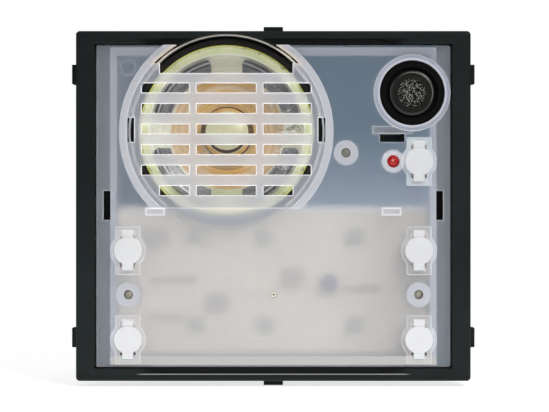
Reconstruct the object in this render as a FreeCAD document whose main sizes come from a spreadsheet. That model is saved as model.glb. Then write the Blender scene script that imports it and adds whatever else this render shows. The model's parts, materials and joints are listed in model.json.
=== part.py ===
import FreeCAD, Part
import math
import os
import re

import Sketcher
from FreeCAD import Placement, Rotation, Vector

# A door intercom module for a modular entry panel: frame, frosted cover, speaker, microphone, five keys,
# two boards and the rear case. Width runs along X, height along Z, and the front faces -Y.
# The origin is the centre of the back face. A depth is counted forward from the back face, so y = -depth.

doc = FreeCAD.newDocument("door_intercom_module")

driving = {
    # depth stack, from the back face to the front of the frame
    "case_depth": 19.4,
    "board_thickness": 1.6,
    "rib_height": 3.4,
    "cover_wall": 1.6,
    "frame_proud": 1.0,
    # how far a cutter runs past the face it starts from
    "past": 1.0,
    # front frame
    "frame_width": 101.5,
    "frame_height": 90.0,
    "side_bar": 4.95,
    "end_bar": 3.4,
    "skirt_wall": 2.2,
    "frame_corner": 1.0,
    "frame_edge": 0.35,
    "lug_reach": 1.25,
    "lug_root": 0.5,
    "lug_length": 5.0,
    "lug_depth": 4.6,
    "lug_setback": 3.0,
    "side_lug_inset": 11.0,
    "scallop_inset": 9.3,
    "scallop_width": 1.5,
    "scallop_depth": 0.6,
    "scallop_run": 9.0,
    # cover plate and the rib round its back
    "plate_gap": 0.2,
    "plate_corner": 0.6,
    "side_flange": 3.9,
    "top_flange": 0.8,
    "side_rib_wall": 1.6,
    "top_rib_wall": 2.15,
    "lip_under_side": 1.1,
    "lip_under_top": 2.2,
    # side hooks of the cover, the slots above them
    "hook_z": 0.15,
    "hook_length": 6.3,
    "hook_reach": 1.3,
    "hook_catch": 0.9,
    "hook_gap": 0.1,
    "hook_slot_length": 7.5,
    "hook_slot_width": 1.85,
    # round platform over the speaker
    "speaker_inset_x": 33.7,
    "speaker_inset_z": 22.5,
    "platform_radius": 27.5,
    "field_radius": 25.7,
    "field_sink": 0.4,
    "grille_wall": 1.4,
    "hollow_radius": 24.4,
    "platform_drop": 19.6,
    "ring_rib_outer": 25.3,
    "ring_rib_wall": 0.4,
    "ring_rib_gap": 0.15,
    "notch_half": 17.1,
    "notch_rise": 15.05,
    "notch_step_rise": 17.6,
    "row_height": 2.45,
    "row_pitch": 5.28,
    "top_row_rise": 11.26,
    "middle_slot_half": 7.65,
    "grille_post": 1.9,
    "outer_slot_end": 21.75,
    "snap_slot_inner": 23.65,
    "snap_slot_width": 1.85,
    "snap_slot_length": 6.3,
    "snap_slot_rise": 0.5,
    # microphone
    "mic_inset_x": 10.1,
    "mic_inset_z": 12.5,
    "mic_hole_radius": 8.4,
    "mic_ring_radius": 9.8,
    "mic_tube_height": 2.4,
    "boot_radius": 8.25,
    "boot_sink": 0.7,
    "boot_groove_inner": 5.75,
    "boot_groove_outer": 6.7,
    "boot_groove_depth": 1.2,
    "boot_mouth_radius": 3.65,
    "boot_lip": 0.7,
    "capsule_radius": 4.85,
    "mesh_thickness": 0.25,
    "mesh_gap": 0.05,
    "boot_edge_drop": 0.35,
    "boot_edge_width": 0.5,
    "boot_edge_radius": 0.65,
    "boot_mouth_bevel": 0.3,
    "mic_hook_shift": 5.1,
    "mic_hook_width": 4.6,
    "mic_hook_drop": 10.51,
    "mic_hook_wall": 1.2,
    "mic_hook_reach": 0.5,
    "mic_slot_width": 6.4,
    "mic_slot_height": 2.13,
    "mic_bar_width": 10.2,
    "mic_bar_height": 2.0,
    # status lamp
    "led_inset_x": 14.9,
    "led_drop": 17.6,
    "led_radius": 1.5,
    "led_hole_gap": 0.15,
    "led_tube_radius": 2.9,
    "led_tube_height": 1.7,
    "led_flange_radius": 1.9,
    "led_flange_height": 0.6,
    "led_stand_off": 1.0,
    "led_proud": 0.3,
    "lead_pitch": 2.54,
    "lead_side": 0.45,
    "pin_tail": 0.6,
    # keys
    "right_key_inset": 8.3,
    "left_key_inset": 8.35,
    "upper_key_drop": 17.65,
    "key_rise": 22.9,
    "lower_key_inset": 7.2,
    "key_radius": 3.6,
    "key_gap": 0.15,
    "key_travel": 0.3,
    "tab_width": 2.8,
    "tab_height": 10.1,
    "tab_side_gap": 0.65,
    "tab_slot_height": 8.6,
    "well_radius": 4.5,
    "well_width": 6.25,
    "well_height": 12.3,
    "well_depth": 1.0,
    "flange_thickness": 0.6,
    "flange_clearance": 0.05,
    "flange_notch_length": 1.2,
    "collar_height": 0.2,
    "key_proud": 0.5,
    "tab_proud": 0.25,
    "stem_radius": 1.3,
    "key_round": 0.25,
    # tactile switches
    "switch_side": 5.2,
    "switch_height": 2.0,
    "plunger_radius": 1.5,
    "plunger_gap": 0.1,
    "plunger_proud": 0.6,
    "plunger_room": 0.2,
    # screws, their bosses and wells
    "upper_boss_shift": 17.9,
    "upper_boss_drop": 5.4,
    "left_boss_inset": 8.5,
    "right_boss_inset": 8.4,
    "lower_boss_rise": 11.6,
    "boss_radius": 3.2,
    "screw_radius": 1.15,
    "screw_gap": 0.1,
    "screw_head_radius": 2.45,
    "screw_head_height": 1.6,
    "screw_tip_sink": 1.1,
    "screw_tip_cone": 0.7,
    "cross_length": 2.9,
    "well_tube_radius": 3.9,
    "well_bore_radius": 2.8,
    "well_seat": 2.4,
    # small marks of the cover
    "stop_width": 5.1,
    "stop_height": 2.1,
    "stop_wall": 0.55,
    "stop_inset": 15.4,
    "stop_drop": 1.12,
    "gate_x": 0.13,
    "gate_z": -22.8,
    "gate_radius": 1.0,
    "gate_sink": 0.3,
    "gate_nub_radius": 0.35,
    "low_ejector_z": -4.85,
    "high_ejector_inset": 5.9,
    "ejector_radius": 2.0,
    "ejector_sink": 0.15,
    # loudspeaker
    "speaker_radius": 22.5,
    "rim_width": 1.9,
    "rim_thickness": 0.8,
    "rim_sink": 0.5,
    "basket_depth": 7.3,
    "basket_wall": 0.7,
    "rim_step_width": 0.6,
    "rim_step_depth": 0.3,
    "deck_radius": 15.0,
    "deck_hole_radius": 9.8,
    "spoke_half": 4.05,
    "basket_window_inner": 15.2,
    "basket_window_outer": 19.4,
    "basket_ear_half": 3.5,
    "film_thickness": 0.25,
    "film_inner_gap": 0.05,
    "film_outer_gap": 0.2,
    "roll_seat": 0.9,
    "roll_width": 2.9,
    "roll_height": 0.45,
    "coil_outer": 6.6,
    "coil_wall": 0.3,
    "former_wall": 0.15,
    "magnet_gap": 0.35,
    "former_front": 18.9,
    "coil_front_reach": 0.4,
    "coil_rear_reach": 1.0,
    "former_rear_reach": 1.4,
    "dome_height": 2.1,
    "dome_edge": 0.4,
    "top_plate_thickness": 2.0,
    "top_plate_radius": 14.0,
    "magnet_inner": 8.6,
    "magnet_radius": 15.5,
    "magnet_thickness": 3.2,
    "yoke_radius": 14.5,
    "yoke_thickness": 1.6,
    "foam_radius": 23.95,
    "foam_gap": 0.1,
    "foam_hole_radius": 20.9,
    "tag_board_width": 4.0,
    "tag_board_thickness": 0.6,
    "tag_board_start": 17.1,
    "tag_inset": 0.4,
    "tag_width": 1.3,
    "tag_length": 3.6,
    "tag_thickness": 0.25,
    "tag_offset": 1.7,
    "wire_radius": 0.45,
    "wire_run": 3.4,
    "wire_drop": 1.3,
    "wire_gap": 0.1,
    "wire_rise": 1.2,
    # front board and what it carries
    "board_gap": 0.6,
    "lip_gap": 0.3,
    "sheet_thickness": 0.3,
    "sheet_top_rise": 0.2,
    "sheet_arc_gap": 0.1,
    "sheet_inset": 0.3,
    "cutout_gap": 0.4,
    "label_led_width": 3.5,
    "label_led_height": 2.8,
    "label_led_depth": 1.4,
    "label_led_left_shift": 17.35,
    "label_led_middle_x": -2.2,
    "label_led_right_shift": 16.5,
    "label_led_drop": 27.2,
    "label_led_lower_z": -30.8,
    "chip_left_shift": 7.55,
    "chip_low_x": -14.5,
    "chip_low_z": -25.0,
    "chip_middle_x": 5.1,
    "chip_middle_z": -18.5,
    "chip_depth": 1.5,
    "chip_width": 5.0,
    "chip_height": 4.0,
    "passive_width": 2.0,
    "passive_height": 1.25,
    "passive_depth": 0.6,
    "passive_pitch": 3.1,
    "passive_upper_shift": 6.95,
    "passive_upper_z": -19.2,
    "passive_lower_shift": 6.45,
    "passive_lower_z": -29.0,
    "passive_right_x": 20.2,
    "passive_right_z": -21.5,
    "capacitor_x": 14.4,
    "capacitor_z": -20.1,
    "capacitor_radius": 2.3,
    "capacitor_height": 2.6,
    "capacitor_base": 5.0,
    "capacitor_base_height": 0.5,
    # rear case
    "flange_reach_x": 5.95,
    "flange_reach_z": 3.7,
    "case_wall": 1.8,
    "case_floor": 2.0,
    "case_corner": 1.5,
    "case_flange": 2.0,
    "flange_gap": 0.1,
    "hook_pocket_depth": 1.4,
    "hook_pocket_gap": 0.6,
    "post_radius": 1.8,
    # rear board and its connectors
    "rear_board_inset_x": 7.5,
    "rear_board_height": 30.4,
    "rear_board_inset_z": 0.3,
    "rear_board_depth": 12.4,
    "post_inset": 2.2,
    "link_width": 12.7,
    "link_height": 5.0,
    "link_drop": 3.5,
    "terminal_pitch": 5.08,
    "plug_half": 15.2,
    "plug_foot_rise": 0.1,
    "plug_head_height": 9.9,
    "plug_head_depth": 6.0,
    "plug_sink": 0.4,
    "plug_neck_height": 7.4,
    "plug_neck_foot": 1.3,
    "header_wall": 0.9,
    "header_gap": 0.4,
    "header_depth": 5.6,
    "header_floor": 1.0,
    "terminal_pin_side": 1.0,
    "terminal_pin_length": 4.0,
    "pin_socket_gap": 0.4,
    "clamp_screw_radius": 1.7,
    "clamp_well_radius": 1.9,
    "clamp_well_depth": 2.6,
    "clamp_screw_height": 2.2,
    "clamp_edge": 1.3,
    "wire_entry_width": 2.9,
    "wire_entry_depth": 2.5,
    "wire_entry_length": 6.0,
    "wire_entry_setback": 0.5,
    "opening_gap": 2.0,
    "trimmer_side": 6.6,
    "trimmer_height": 4.6,
    "trimmer_drop": 6.5,
    "volume_trimmer_inset": 8.2,
    "trimmer_pitch": 11.0,
    "rotor_radius": 1.75,
    "rotor_spindle_radius": 1.4,
    "rotor_spindle_length": 1.8,
    "rotor_gap": 0.1,
    "rotor_sink": 1.0,
    "rotor_hole_gap": 0.5,
    "slot_width": 0.6,
    "slot_depth": 0.7,
    "socket_in_x": 9.0,
    "socket_out_x": 23.0,
    "socket_drop": 10.5,
    "socket_width": 11.0,
    "socket_height": 7.0,
    "socket_wall": 1.1,
    "socket_sink": 0.8,
    "socket_cavity_depth": 7.6,
    "socket_pin_side": 0.6,
    "socket_pin_length": 3.2,
    "socket_pin_pitch": 2.0,
    "configurator_drop": 14.0,
    "configurator_inset": 17.2,
    "configurator_width": 26.0,
    "configurator_height": 5.0,
    "configurator_depth": 9.0,
    "configurator_slot_width": 2.6,
    "configurator_slot_height": 3.2,
    "configurator_slot_depth": 5.0,
    "configurator_pitch": 4.1,
    "floor_opening_gap": 0.3,
}

# Places and sizes that follow from the driving dimensions.
derived = {
    "lip_front": "case_depth + board_thickness",
    "cover_rear": "lip_front + rib_height",
    "cover_front": "cover_rear + cover_wall",
    "module_depth": "cover_front + frame_proud",
    "seat_depth": "case_depth - case_flange",
    "frame_half_x": "frame_width / 2",
    "frame_half_z": "frame_height / 2",
    "window_half_x": "frame_half_x - side_bar",
    "window_half_z": "frame_half_z - end_bar",
    "side_lug_z": "frame_half_z - side_lug_inset",
    "scallop_half": "window_half_x - scallop_inset",
    "speaker_x": "speaker_inset_x - window_half_x",
    "speaker_z": "window_half_z - speaker_inset_z",
    "platform_foot_z": "speaker_z - platform_drop",
    "notch_foot_z": "speaker_z + notch_rise",
    "notch_step_z": "speaker_z + notch_step_rise",
    "top_row_z": "speaker_z + top_row_rise",
    "snap_slot_z": "speaker_z + snap_slot_rise",
    "mic_x": "window_half_x - mic_inset_x",
    "mic_z": "window_half_z - mic_inset_z",
    "mic_hook_x": "mic_x - mic_hook_shift",
    "mic_hook_z": "mic_z - mic_hook_drop",
    "led_x": "window_half_x - led_inset_x",
    "led_z": "mic_z - led_drop",
    "right_key_x": "window_half_x - right_key_inset",
    "left_key_x": "left_key_inset - window_half_x",
    "upper_key_z": "mic_z - upper_key_drop",
    "lower_key_z": "lower_key_inset - window_half_z",
    "middle_key_z": "lower_key_z + key_rise",
    "upper_boss_x": "(7 * speaker_x + 3 * led_x) / 10 + upper_boss_shift",
    "upper_boss_z": "speaker_z - upper_boss_drop",
    "left_boss_x": "left_boss_inset - window_half_x",
    "right_boss_x": "window_half_x - right_boss_inset",
    "lower_boss_z": "lower_key_z + lower_boss_rise",
    "stop_x": "window_half_x - stop_inset",
    "stop_z": "sheet_top_z - stop_drop",
    "sheet_top_z": "platform_foot_z + sheet_top_rise",
    "high_ejector_z": "window_half_z - high_ejector_inset",
    "rear_board_foot_z": "rear_board_inset_z - case_inner_z",
    "plug_foot_z": "rear_board_foot_z + plug_foot_rise",
    "rear_board_top_z": "rear_board_foot_z + rear_board_height",
    "link_z": "rear_board_top_z - link_drop",
    "trimmer_z": "rear_board_top_z - trimmer_drop",
    "volume_trimmer_x": "volume_trimmer_inset - rear_board_half",
    "mic_trimmer_x": "volume_trimmer_x + trimmer_pitch",
    "socket_z": "rear_board_top_z - socket_drop",
    "configurator_x": "configurator_inset - rear_board_half",
    "configurator_z": "rear_board_top_z - configurator_drop",
    "label_led_left_x": "left_key_x + label_led_left_shift",
    "label_led_right_x": "right_key_x - label_led_right_shift",
    "label_led_upper_z": "speaker_z - label_led_drop",
    "chip_left_x": "left_key_x + chip_left_shift",
    "passive_upper_x": "left_key_x + passive_upper_shift",
    "passive_lower_x": "left_key_x + passive_lower_shift",
    "plate_half_x": "window_half_x - plate_gap",
    "plate_half_z": "window_half_z - plate_gap",
    "rib_half_x": "window_half_x - side_flange",
    "rib_half_z": "window_half_z - top_flange",
    "rib_inner_x": "rib_half_x - side_rib_wall",
    "rib_inner_z": "rib_half_z - top_rib_wall",
    "lip_half_x": "rib_half_x - lip_under_side",
    "lip_half_z": "rib_half_z - lip_under_top",
    "board_half_x": "lip_half_x - board_gap",
    "board_half_z": "lip_half_z - lip_gap",
    "case_half_x": "flange_half_x - flange_reach_x",
    "case_half_z": "flange_half_z - flange_reach_z",
    "case_inner_x": "case_half_x - case_wall",
    "case_inner_z": "case_half_z - case_wall",
    "flange_half_x": "frame_half_x - skirt_wall - flange_gap",
    "flange_half_z": "frame_half_z - skirt_wall - flange_gap",
    "field_front": "module_depth - field_sink",
    "key_flange_front": "cover_rear + well_depth - flange_clearance",
    "key_front": "cover_front + key_proud",
    "switch_front": "lip_front + switch_height",
    "plunger_front": "switch_front + plunger_proud",
    "boot_front": "module_depth - boot_sink",
    "capsule_front": "boot_front - boot_lip - mesh_thickness - mesh_gap",
    "screw_seat": "case_depth - well_seat",
    "screw_tip": "cover_front - screw_tip_sink",
    "screw_hole": "screw_radius + screw_gap",
    "rim_front": "cover_rear - rim_sink",
    "rim_rear": "rim_front - rim_thickness",
    "deck_rear": "rim_front - basket_depth",
    "deck_front": "deck_rear + basket_wall",
    "basket_mouth": "speaker_radius - rim_width",
    "former_outer": "coil_outer - coil_wall",
    "former_inner": "former_outer - former_wall",
    "pole_radius": "former_inner - magnet_gap",
    "plate_bore": "coil_outer + magnet_gap",
    "magnet_front": "deck_rear - top_plate_thickness",
    "magnet_rear": "magnet_front - magnet_thickness",
    "yoke_rear": "magnet_rear - yoke_thickness",
    "tag_board_front": "deck_front + tag_board_thickness",
    "tag_front": "tag_board_front + tag_thickness",
    "tag_start": "speaker_x + tag_board_start + tag_inset",
    "rear_board_front": "rear_board_depth + board_thickness",
    "rear_board_half": "case_inner_x - rear_board_inset_x",
    "plug_rear": "plug_sink",
    "plug_head_front": "plug_rear + plug_head_depth",
    "plug_neck_z": "plug_foot_z + plug_neck_foot",
    "header_rear": "rear_board_depth - header_depth",
    "header_inner_front": "rear_board_depth - header_floor",
    "plug_neck_front": "header_inner_front - header_gap",
    "clamp_z": "plug_foot_z + plug_head_height - clamp_well_radius - clamp_edge",
    "sheet_front": "lip_front + sheet_thickness",
    "socket_rear": "socket_sink",
    "socket_cavity_front": "socket_rear + socket_cavity_depth",
    "trimmer_rear": "rear_board_depth - trimmer_height",
    "rotor_bore": "rotor_spindle_radius + rotor_gap",
    "configurator_rear": "rear_board_depth - configurator_depth",
}

sheet = doc.addObject("Spreadsheet::Sheet", "Sizes")
for line, (name, size) in enumerate(driving.items(), 1):
    sheet.set(f"A{line}", name.replace("_", " "))
    sheet.set(f"B{line}", str(size))
    sheet.setAlias(f"B{line}", name)
doc.recompute()

word = re.compile(r"[a-z][a-z_0-9]*")


def full(expression):
    # writes each alias with its sheet and each derived place in full
    def spell(match):
        name = match.group(0)
        if name in derived:
            return f"({full(derived[name])})"
        if name in driving:
            return f"Sizes.{name}"
        return name
    return word.sub(spell, str(expression))


def value(expression):
    return float(sheet.evalExpression(full(expression)))


def bind(owner, **sizes):
    for name, expression in sizes.items():
        owner.setExpression(name.replace("__", "."), full(expression))


nodes = []


def node(made):
    # marks an object as a finished sub-part, named by its label
    nodes.append(made)
    return made


def body(label, x="0", z="0"):
    made = doc.addObject("PartDesign::Body", label)
    made.Label = label
    bind(made, Placement__Base__x=x, Placement__Base__z=z)
    return made


def sketch(owner, name, depth="0", plane="XZ_Plane"):
    made = owner.newObject("Sketcher::SketchObject", f"{owner.Name}_{name}")
    planes = {feature.Role: feature for feature in owner.Origin.OriginFeatures}
    made.AttachmentSupport = [(planes[plane], "")]
    made.MapMode = "FlatFace"
    bind(made, AttachmentOffset__Base__z=depth)
    return made


def hold(drawing, *ties):
    # adds constraints together, then binds each that has a size to its expression
    numbers = drawing.addConstraint([Sketcher.Constraint(*tie[:-1]) for tie in ties])
    for number, tie in zip(numbers, ties):
        if tie[-1]:
            drawing.setExpression(f"Constraints[{number}]", full(tie[-1]))


def at_place(edge, end, point):
    return [("DistanceX", -1, 1, edge, end, value(point[0]), point[0]),
            ("DistanceY", -1, 1, edge, end, value(point[1]), point[1])]


def circle(drawing, x, z, radius):
    edge = drawing.addGeometry(Part.Circle(Vector(value(x), value(z), 0), Vector(0, 0, 1), value(radius)))
    hold(drawing, *at_place(edge, 3, (x, z)), ("Radius", edge, value(radius), radius))


def arc(tail, head, radius, side):
    # an arc from tail to head; a sketch always runs it to the left, so its ends may swap
    chord = head - tail
    across = Vector(-chord.y, chord.x, 0).normalize() * side
    centre = (tail + head) * 0.5 + across * math.sqrt(max(radius ** 2 - chord.Length ** 2 / 4, 0))
    ends = (tail, head) if side > 0 else (head, tail)
    turn = [math.atan2(end.y - centre.y, end.x - centre.x) for end in ends]
    return Part.ArcOfCircle(Part.Circle(centre, Vector(0, 0, 1), radius), *turn)


def outline(drawing, points):
    # a closed outline; a point is (x, y), or (x, y, radius, side) where an arc leads to it,
    # with side 1 for an arc that turns left and -1 for one that turns right
    places = [Vector(value(point[0]), value(point[1]), 0) for point in points]
    runs = []
    ties = []
    for at, point in enumerate(points):
        tail, head = places[at - 1], places[at]
        if len(point) == 2:
            runs.append((drawing.addGeometry(Part.LineSegment(tail, head)), 1, 2))
            continue
        size, side = point[2:]
        edge = drawing.addGeometry(arc(tail, head, value(size), side))
        runs.append((edge, 1, 2) if side > 0 else (edge, 2, 1))
        ties.append(("Radius", edge, value(size), size))
    for at, (edge, start, end) in enumerate(runs):
        after = runs[(at + 1) % len(runs)]
        ties.append(("Coincident", edge, end, after[0], after[1], None))
        ties.extend(at_place(edge, end, points[at]))
    hold(drawing, *ties)


def rectangle(drawing, x0, z0, x1, z1):
    outline(drawing, [(x0, z0), (x1, z0), (x1, z1), (x0, z1)])


def centred(drawing, x, z, width, height):
    rectangle(drawing, f"{x} - ({width}) / 2", f"{z} - ({height}) / 2",
              f"{x} + ({width}) / 2", f"{z} + ({height}) / 2")


def pad(owner, drawing, length):
    made = owner.newObject("PartDesign::Pad", f"{drawing.Name}_pad")
    made.Profile = drawing
    bind(made, Length=length)
    return made


def pocket(owner, drawing, depth, forward=False):
    # cuts towards the back from the sketch, or towards the front when forward is set
    doc.recompute()
    before = owner.Shape.Volume
    made = owner.newObject("PartDesign::Pocket", f"{drawing.Name}_cut")
    made.Profile = drawing
    made.Reversed = forward
    bind(made, Length=depth)
    doc.recompute()
    if owner.Shape.Volume >= before:
        raise ValueError(f"{made.Name} cuts nothing")
    return made


def turned(label, x, z, points):
    # a body of revolution about an axis along Y; a point is (radius, depth, ...)
    owner = body(label, x, z)
    drawing = sketch(owner, "section", plane="XY_Plane")
    outline(drawing, [(point[0], f"-({point[1]})", *point[2:]) for point in points])
    made = owner.newObject("PartDesign::Revolution", f"{label}_turn")
    made.Profile = drawing
    made.ReferenceAxis = (drawing, ["V_Axis"])
    made.Angle = 360
    return owner


def tube(label, x, z, inner, outer, rear, front):
    return turned(label, x, z, [(inner, rear), (outer, rear), (outer, front), (inner, front)])


def depth_edges(owner, x, z):
    # the edges that run along the depth at the four corners at +-x and +-z
    doc.recompute()
    found = []
    for number, edge in enumerate(owner.Shape.Edges, 1):
        ends = [vertex.Point for vertex in edge.Vertexes]
        if len(ends) == 2 and all(abs(abs(p.x) - x) < 1e-4 and abs(abs(p.z) - z) < 1e-4 for p in ends):
            found.append(f"Edge{number}")
    return found


def soften(owner, kind, edges, size):
    base = owner.Tip
    made = owner.newObject(f"PartDesign::{kind}", f"{owner.Name}_{kind.lower()}")
    made.Base = (base, edges)
    made.setExpression("Radius" if kind == "Fillet" else "Size", full(size))
    doc.recompute()
    return made


def block(name, x, z, width, height, rear, front):
    # a box centred on (x, z) that reaches from one depth to another
    made = doc.addObject("Part::Box", name)
    bind(made, Length=width, Height=height, Width=f"({front}) - ({rear})",
         Placement__Base__x=f"{x} - ({width}) / 2", Placement__Base__y=f"-({front})",
         Placement__Base__z=f"{z} - ({height}) / 2")
    return made


def rod(name, x, z, radius, rear, front):
    # a cylinder along the depth
    made = doc.addObject("Part::Cylinder", name)
    made.Placement = Placement(Vector(), Rotation(Vector(1, 0, 0), 90))
    bind(made, Radius=radius, Height=f"({front}) - ({rear})", Placement__Base__x=x,
         Placement__Base__y=f"-({rear})", Placement__Base__z=z)
    return made


def taper(name, x, z, rear_radius, front_radius, rear, front):
    made = doc.addObject("Part::Cone", name)
    made.Placement = Placement(Vector(), Rotation(Vector(1, 0, 0), 90))
    bind(made, Radius1=rear_radius, Radius2=front_radius, Height=f"({front}) - ({rear})",
         Placement__Base__x=x, Placement__Base__y=f"-({rear})", Placement__Base__z=z)
    return made


def joined(name, pieces):
    made = doc.addObject("Part::MultiFuse", name)
    made.Shapes = pieces
    return made


def carved(name, base, tools):
    made = doc.addObject("Part::Cut", name)
    made.Base = base
    made.Tool = tools[0] if len(tools) == 1 else joined(f"{name}_tools", tools)
    return made


def group(name, pieces):
    # a set of alike separate solids in one node
    made = doc.addObject("Part::Compound", name)
    made.Links = pieces
    return made


# The places of the repeated features.
keys = {
    "upper_right": ("right_key_x", "upper_key_z"),
    "right_top": ("right_key_x", "middle_key_z"),
    "right_bottom": ("right_key_x", "lower_key_z"),
    "left_top": ("left_key_x", "middle_key_z"),
    "left_bottom": ("left_key_x", "lower_key_z"),
}
bosses = {
    "upper": ("upper_boss_x", "upper_boss_z"),
    "left": ("left_boss_x", "lower_boss_z"),
    "right": ("right_boss_x", "lower_boss_z"),
}
label_led_columns = ["label_led_left_x", "label_led_middle_x", "label_led_right_x"]
label_led_rows = ["label_led_upper_z", "label_led_lower_z"]
grille_rows = 6
terminals = 6
socket_pins = 4
configurator_slots = 6


def front_frame():
    frame = body("front_frame")
    skirt = sketch(frame, "skirt", "seat_depth")
    rectangle(skirt, "-frame_half_x", "-frame_half_z", "frame_half_x", "frame_half_z")
    rectangle(skirt, "-(frame_half_x - skirt_wall)", "-(frame_half_z - skirt_wall)",
              "frame_half_x - skirt_wall", "frame_half_z - skirt_wall")
    pad(frame, skirt, "case_flange")
    lip = sketch(frame, "lip", "case_depth")
    rectangle(lip, "-frame_half_x", "-frame_half_z", "frame_half_x", "frame_half_z")
    rectangle(lip, "-lip_half_x", "-lip_half_z", "lip_half_x", "lip_half_z")
    pad(frame, lip, "board_thickness")
    bars = sketch(frame, "bars", "lip_front")
    rectangle(bars, "-frame_half_x", "-frame_half_z", "frame_half_x", "frame_half_z")
    rectangle(bars, "-window_half_x", "-window_half_z", "window_half_x", "window_half_z")
    pad(frame, bars, "module_depth - lip_front")
    corners = depth_edges(frame, value("frame_half_x"), value("frame_half_z"))
    soften(frame, "Fillet", corners, "frame_corner")
    front = -value("module_depth")
    rim = []
    for number, edge in enumerate(frame.Shape.Edges, 1):
        if all(abs(vertex.Point.y - front) < 1e-4 for vertex in edge.Vertexes):
            rim.append(f"Edge{number}")
    soften(frame, "Chamfer", rim, "frame_edge")
    # lugs that key the frame into the panel, two on each side and one above and below
    lugs = sketch(frame, "lugs", "module_depth - lug_setback - lug_depth")
    for side in ("", "-"):
        for height in ("side_lug_z", "-side_lug_z"):
            centred(lugs, f"{side}(frame_half_x + (lug_reach - lug_root) / 2)", height,
                    "lug_reach + lug_root", "lug_length")
        centred(lugs, "0", f"{side}(frame_half_z + (lug_reach - lug_root) / 2)",
                "lug_length", "lug_reach + lug_root")
    pad(frame, lugs, "lug_depth")
    # long shallow scallops along the window edge of the top and bottom bars
    scallops = sketch(frame, "scallops", "module_depth")
    for side in ("", "-"):
        outline(scallops, [
            ("-scallop_half", f"{side}(window_half_z - past)"),
            ("scallop_half", f"{side}(window_half_z - past)"),
            ("scallop_half - scallop_run", f"{side}(window_half_z + scallop_width)"),
            ("-(scallop_half - scallop_run)", f"{side}(window_half_z + scallop_width)"),
        ])
    pocket(frame, scallops, "scallop_depth")
    # room for the cover's speaker rib in the top bar, and for its hooks in the lip
    arch = sketch(frame, "arch", "module_depth")
    circle(arch, "speaker_x", "speaker_z", "ring_rib_outer + ring_rib_gap")
    pocket(frame, arch, "module_depth - lip_front")
    gaps = sketch(frame, "hook_gaps", "lip_front")
    for side in ("", "-"):
        centred(gaps, f"{side}(rib_half_x - lip_under_side / 2)", "hook_z",
                "lip_under_side + 2 * hook_gap", "hook_length + 2 * hook_pocket_gap")
    pocket(frame, gaps, "board_thickness")
    return frame


def chord(radius, height):
    # half the width of a circle about the speaker's axis at a given height
    return f"sqrt(({radius}) ^ 2 - (({height}) - speaker_z) ^ 2)"


def well_shape(name, x, z, rear, front, gap="0"):
    # a disc joined to an upright bar: the outline of the key wells, collars and key flanges
    return [rod(f"{name}_ring", x, z, f"well_radius - {gap}", rear, front),
            block(f"{name}_bar", x, z, f"well_width - 2 * {gap}", f"well_height - 2 * {gap}", rear, front)]


def cover_plate():
    plate = body("cover_plate")
    panel = sketch(plate, "panel", "cover_rear")
    rectangle(panel, "-plate_half_x", "-plate_half_z", "plate_half_x", "plate_half_z")
    pad(plate, panel, "cover_wall")
    corners = depth_edges(plate, value("plate_half_x"), value("plate_half_z"))
    soften(plate, "Fillet", corners, "plate_corner")
    rib = sketch(plate, "rib", "lip_front")
    rectangle(rib, "-rib_half_x", "-rib_half_z", "rib_half_x", "rib_half_z")
    rectangle(rib, "-rib_inner_x", "-rib_inner_z", "rib_inner_x", "rib_inner_z")
    pad(plate, rib, "rib_height")
    # raised platform with its sunk grille field, hollow behind
    platform = sketch(plate, "platform", "cover_front")
    low, high = chord("platform_radius", "platform_foot_z"), chord("platform_radius", "plate_half_z")
    outline(platform, [
        (f"speaker_x - {low}", "platform_foot_z", "platform_radius", 1),
        (f"speaker_x + {low}", "platform_foot_z"),
        (f"speaker_x + {high}", "plate_half_z", "platform_radius", 1),
        (f"speaker_x - {high}", "plate_half_z"),
    ])
    pad(plate, platform, "frame_proud")
    field = sketch(plate, "field", "module_depth")
    circle(field, "speaker_x", "speaker_z", "field_radius")
    pocket(plate, field, "field_sink")
    hollow = sketch(plate, "hollow", "cover_rear")
    circle(hollow, "speaker_x", "speaker_z", "hollow_radius")
    pocket(plate, hollow, "field_front - grille_wall - cover_rear", forward=True)
    # notch above the grille, open to the plate's top edge
    notch = sketch(plate, "notch", "module_depth")
    step, top = chord("field_radius", "notch_step_z"), chord("field_radius", "plate_half_z + past")
    outline(notch, [
        ("speaker_x - notch_half", "notch_foot_z"), ("speaker_x + notch_half", "notch_foot_z"),
        ("speaker_x + notch_half", "notch_step_z"), (f"speaker_x + {step}", "notch_step_z"),
        (f"speaker_x + {top}", "plate_half_z + past", "field_radius", 1),
        (f"speaker_x - {top}", "plate_half_z + past"),
        (f"speaker_x - {step}", "notch_step_z", "field_radius", 1),
        ("speaker_x - notch_half", "notch_step_z"),
    ])
    pocket(plate, notch, "module_depth - lip_front")
    return plate


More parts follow.
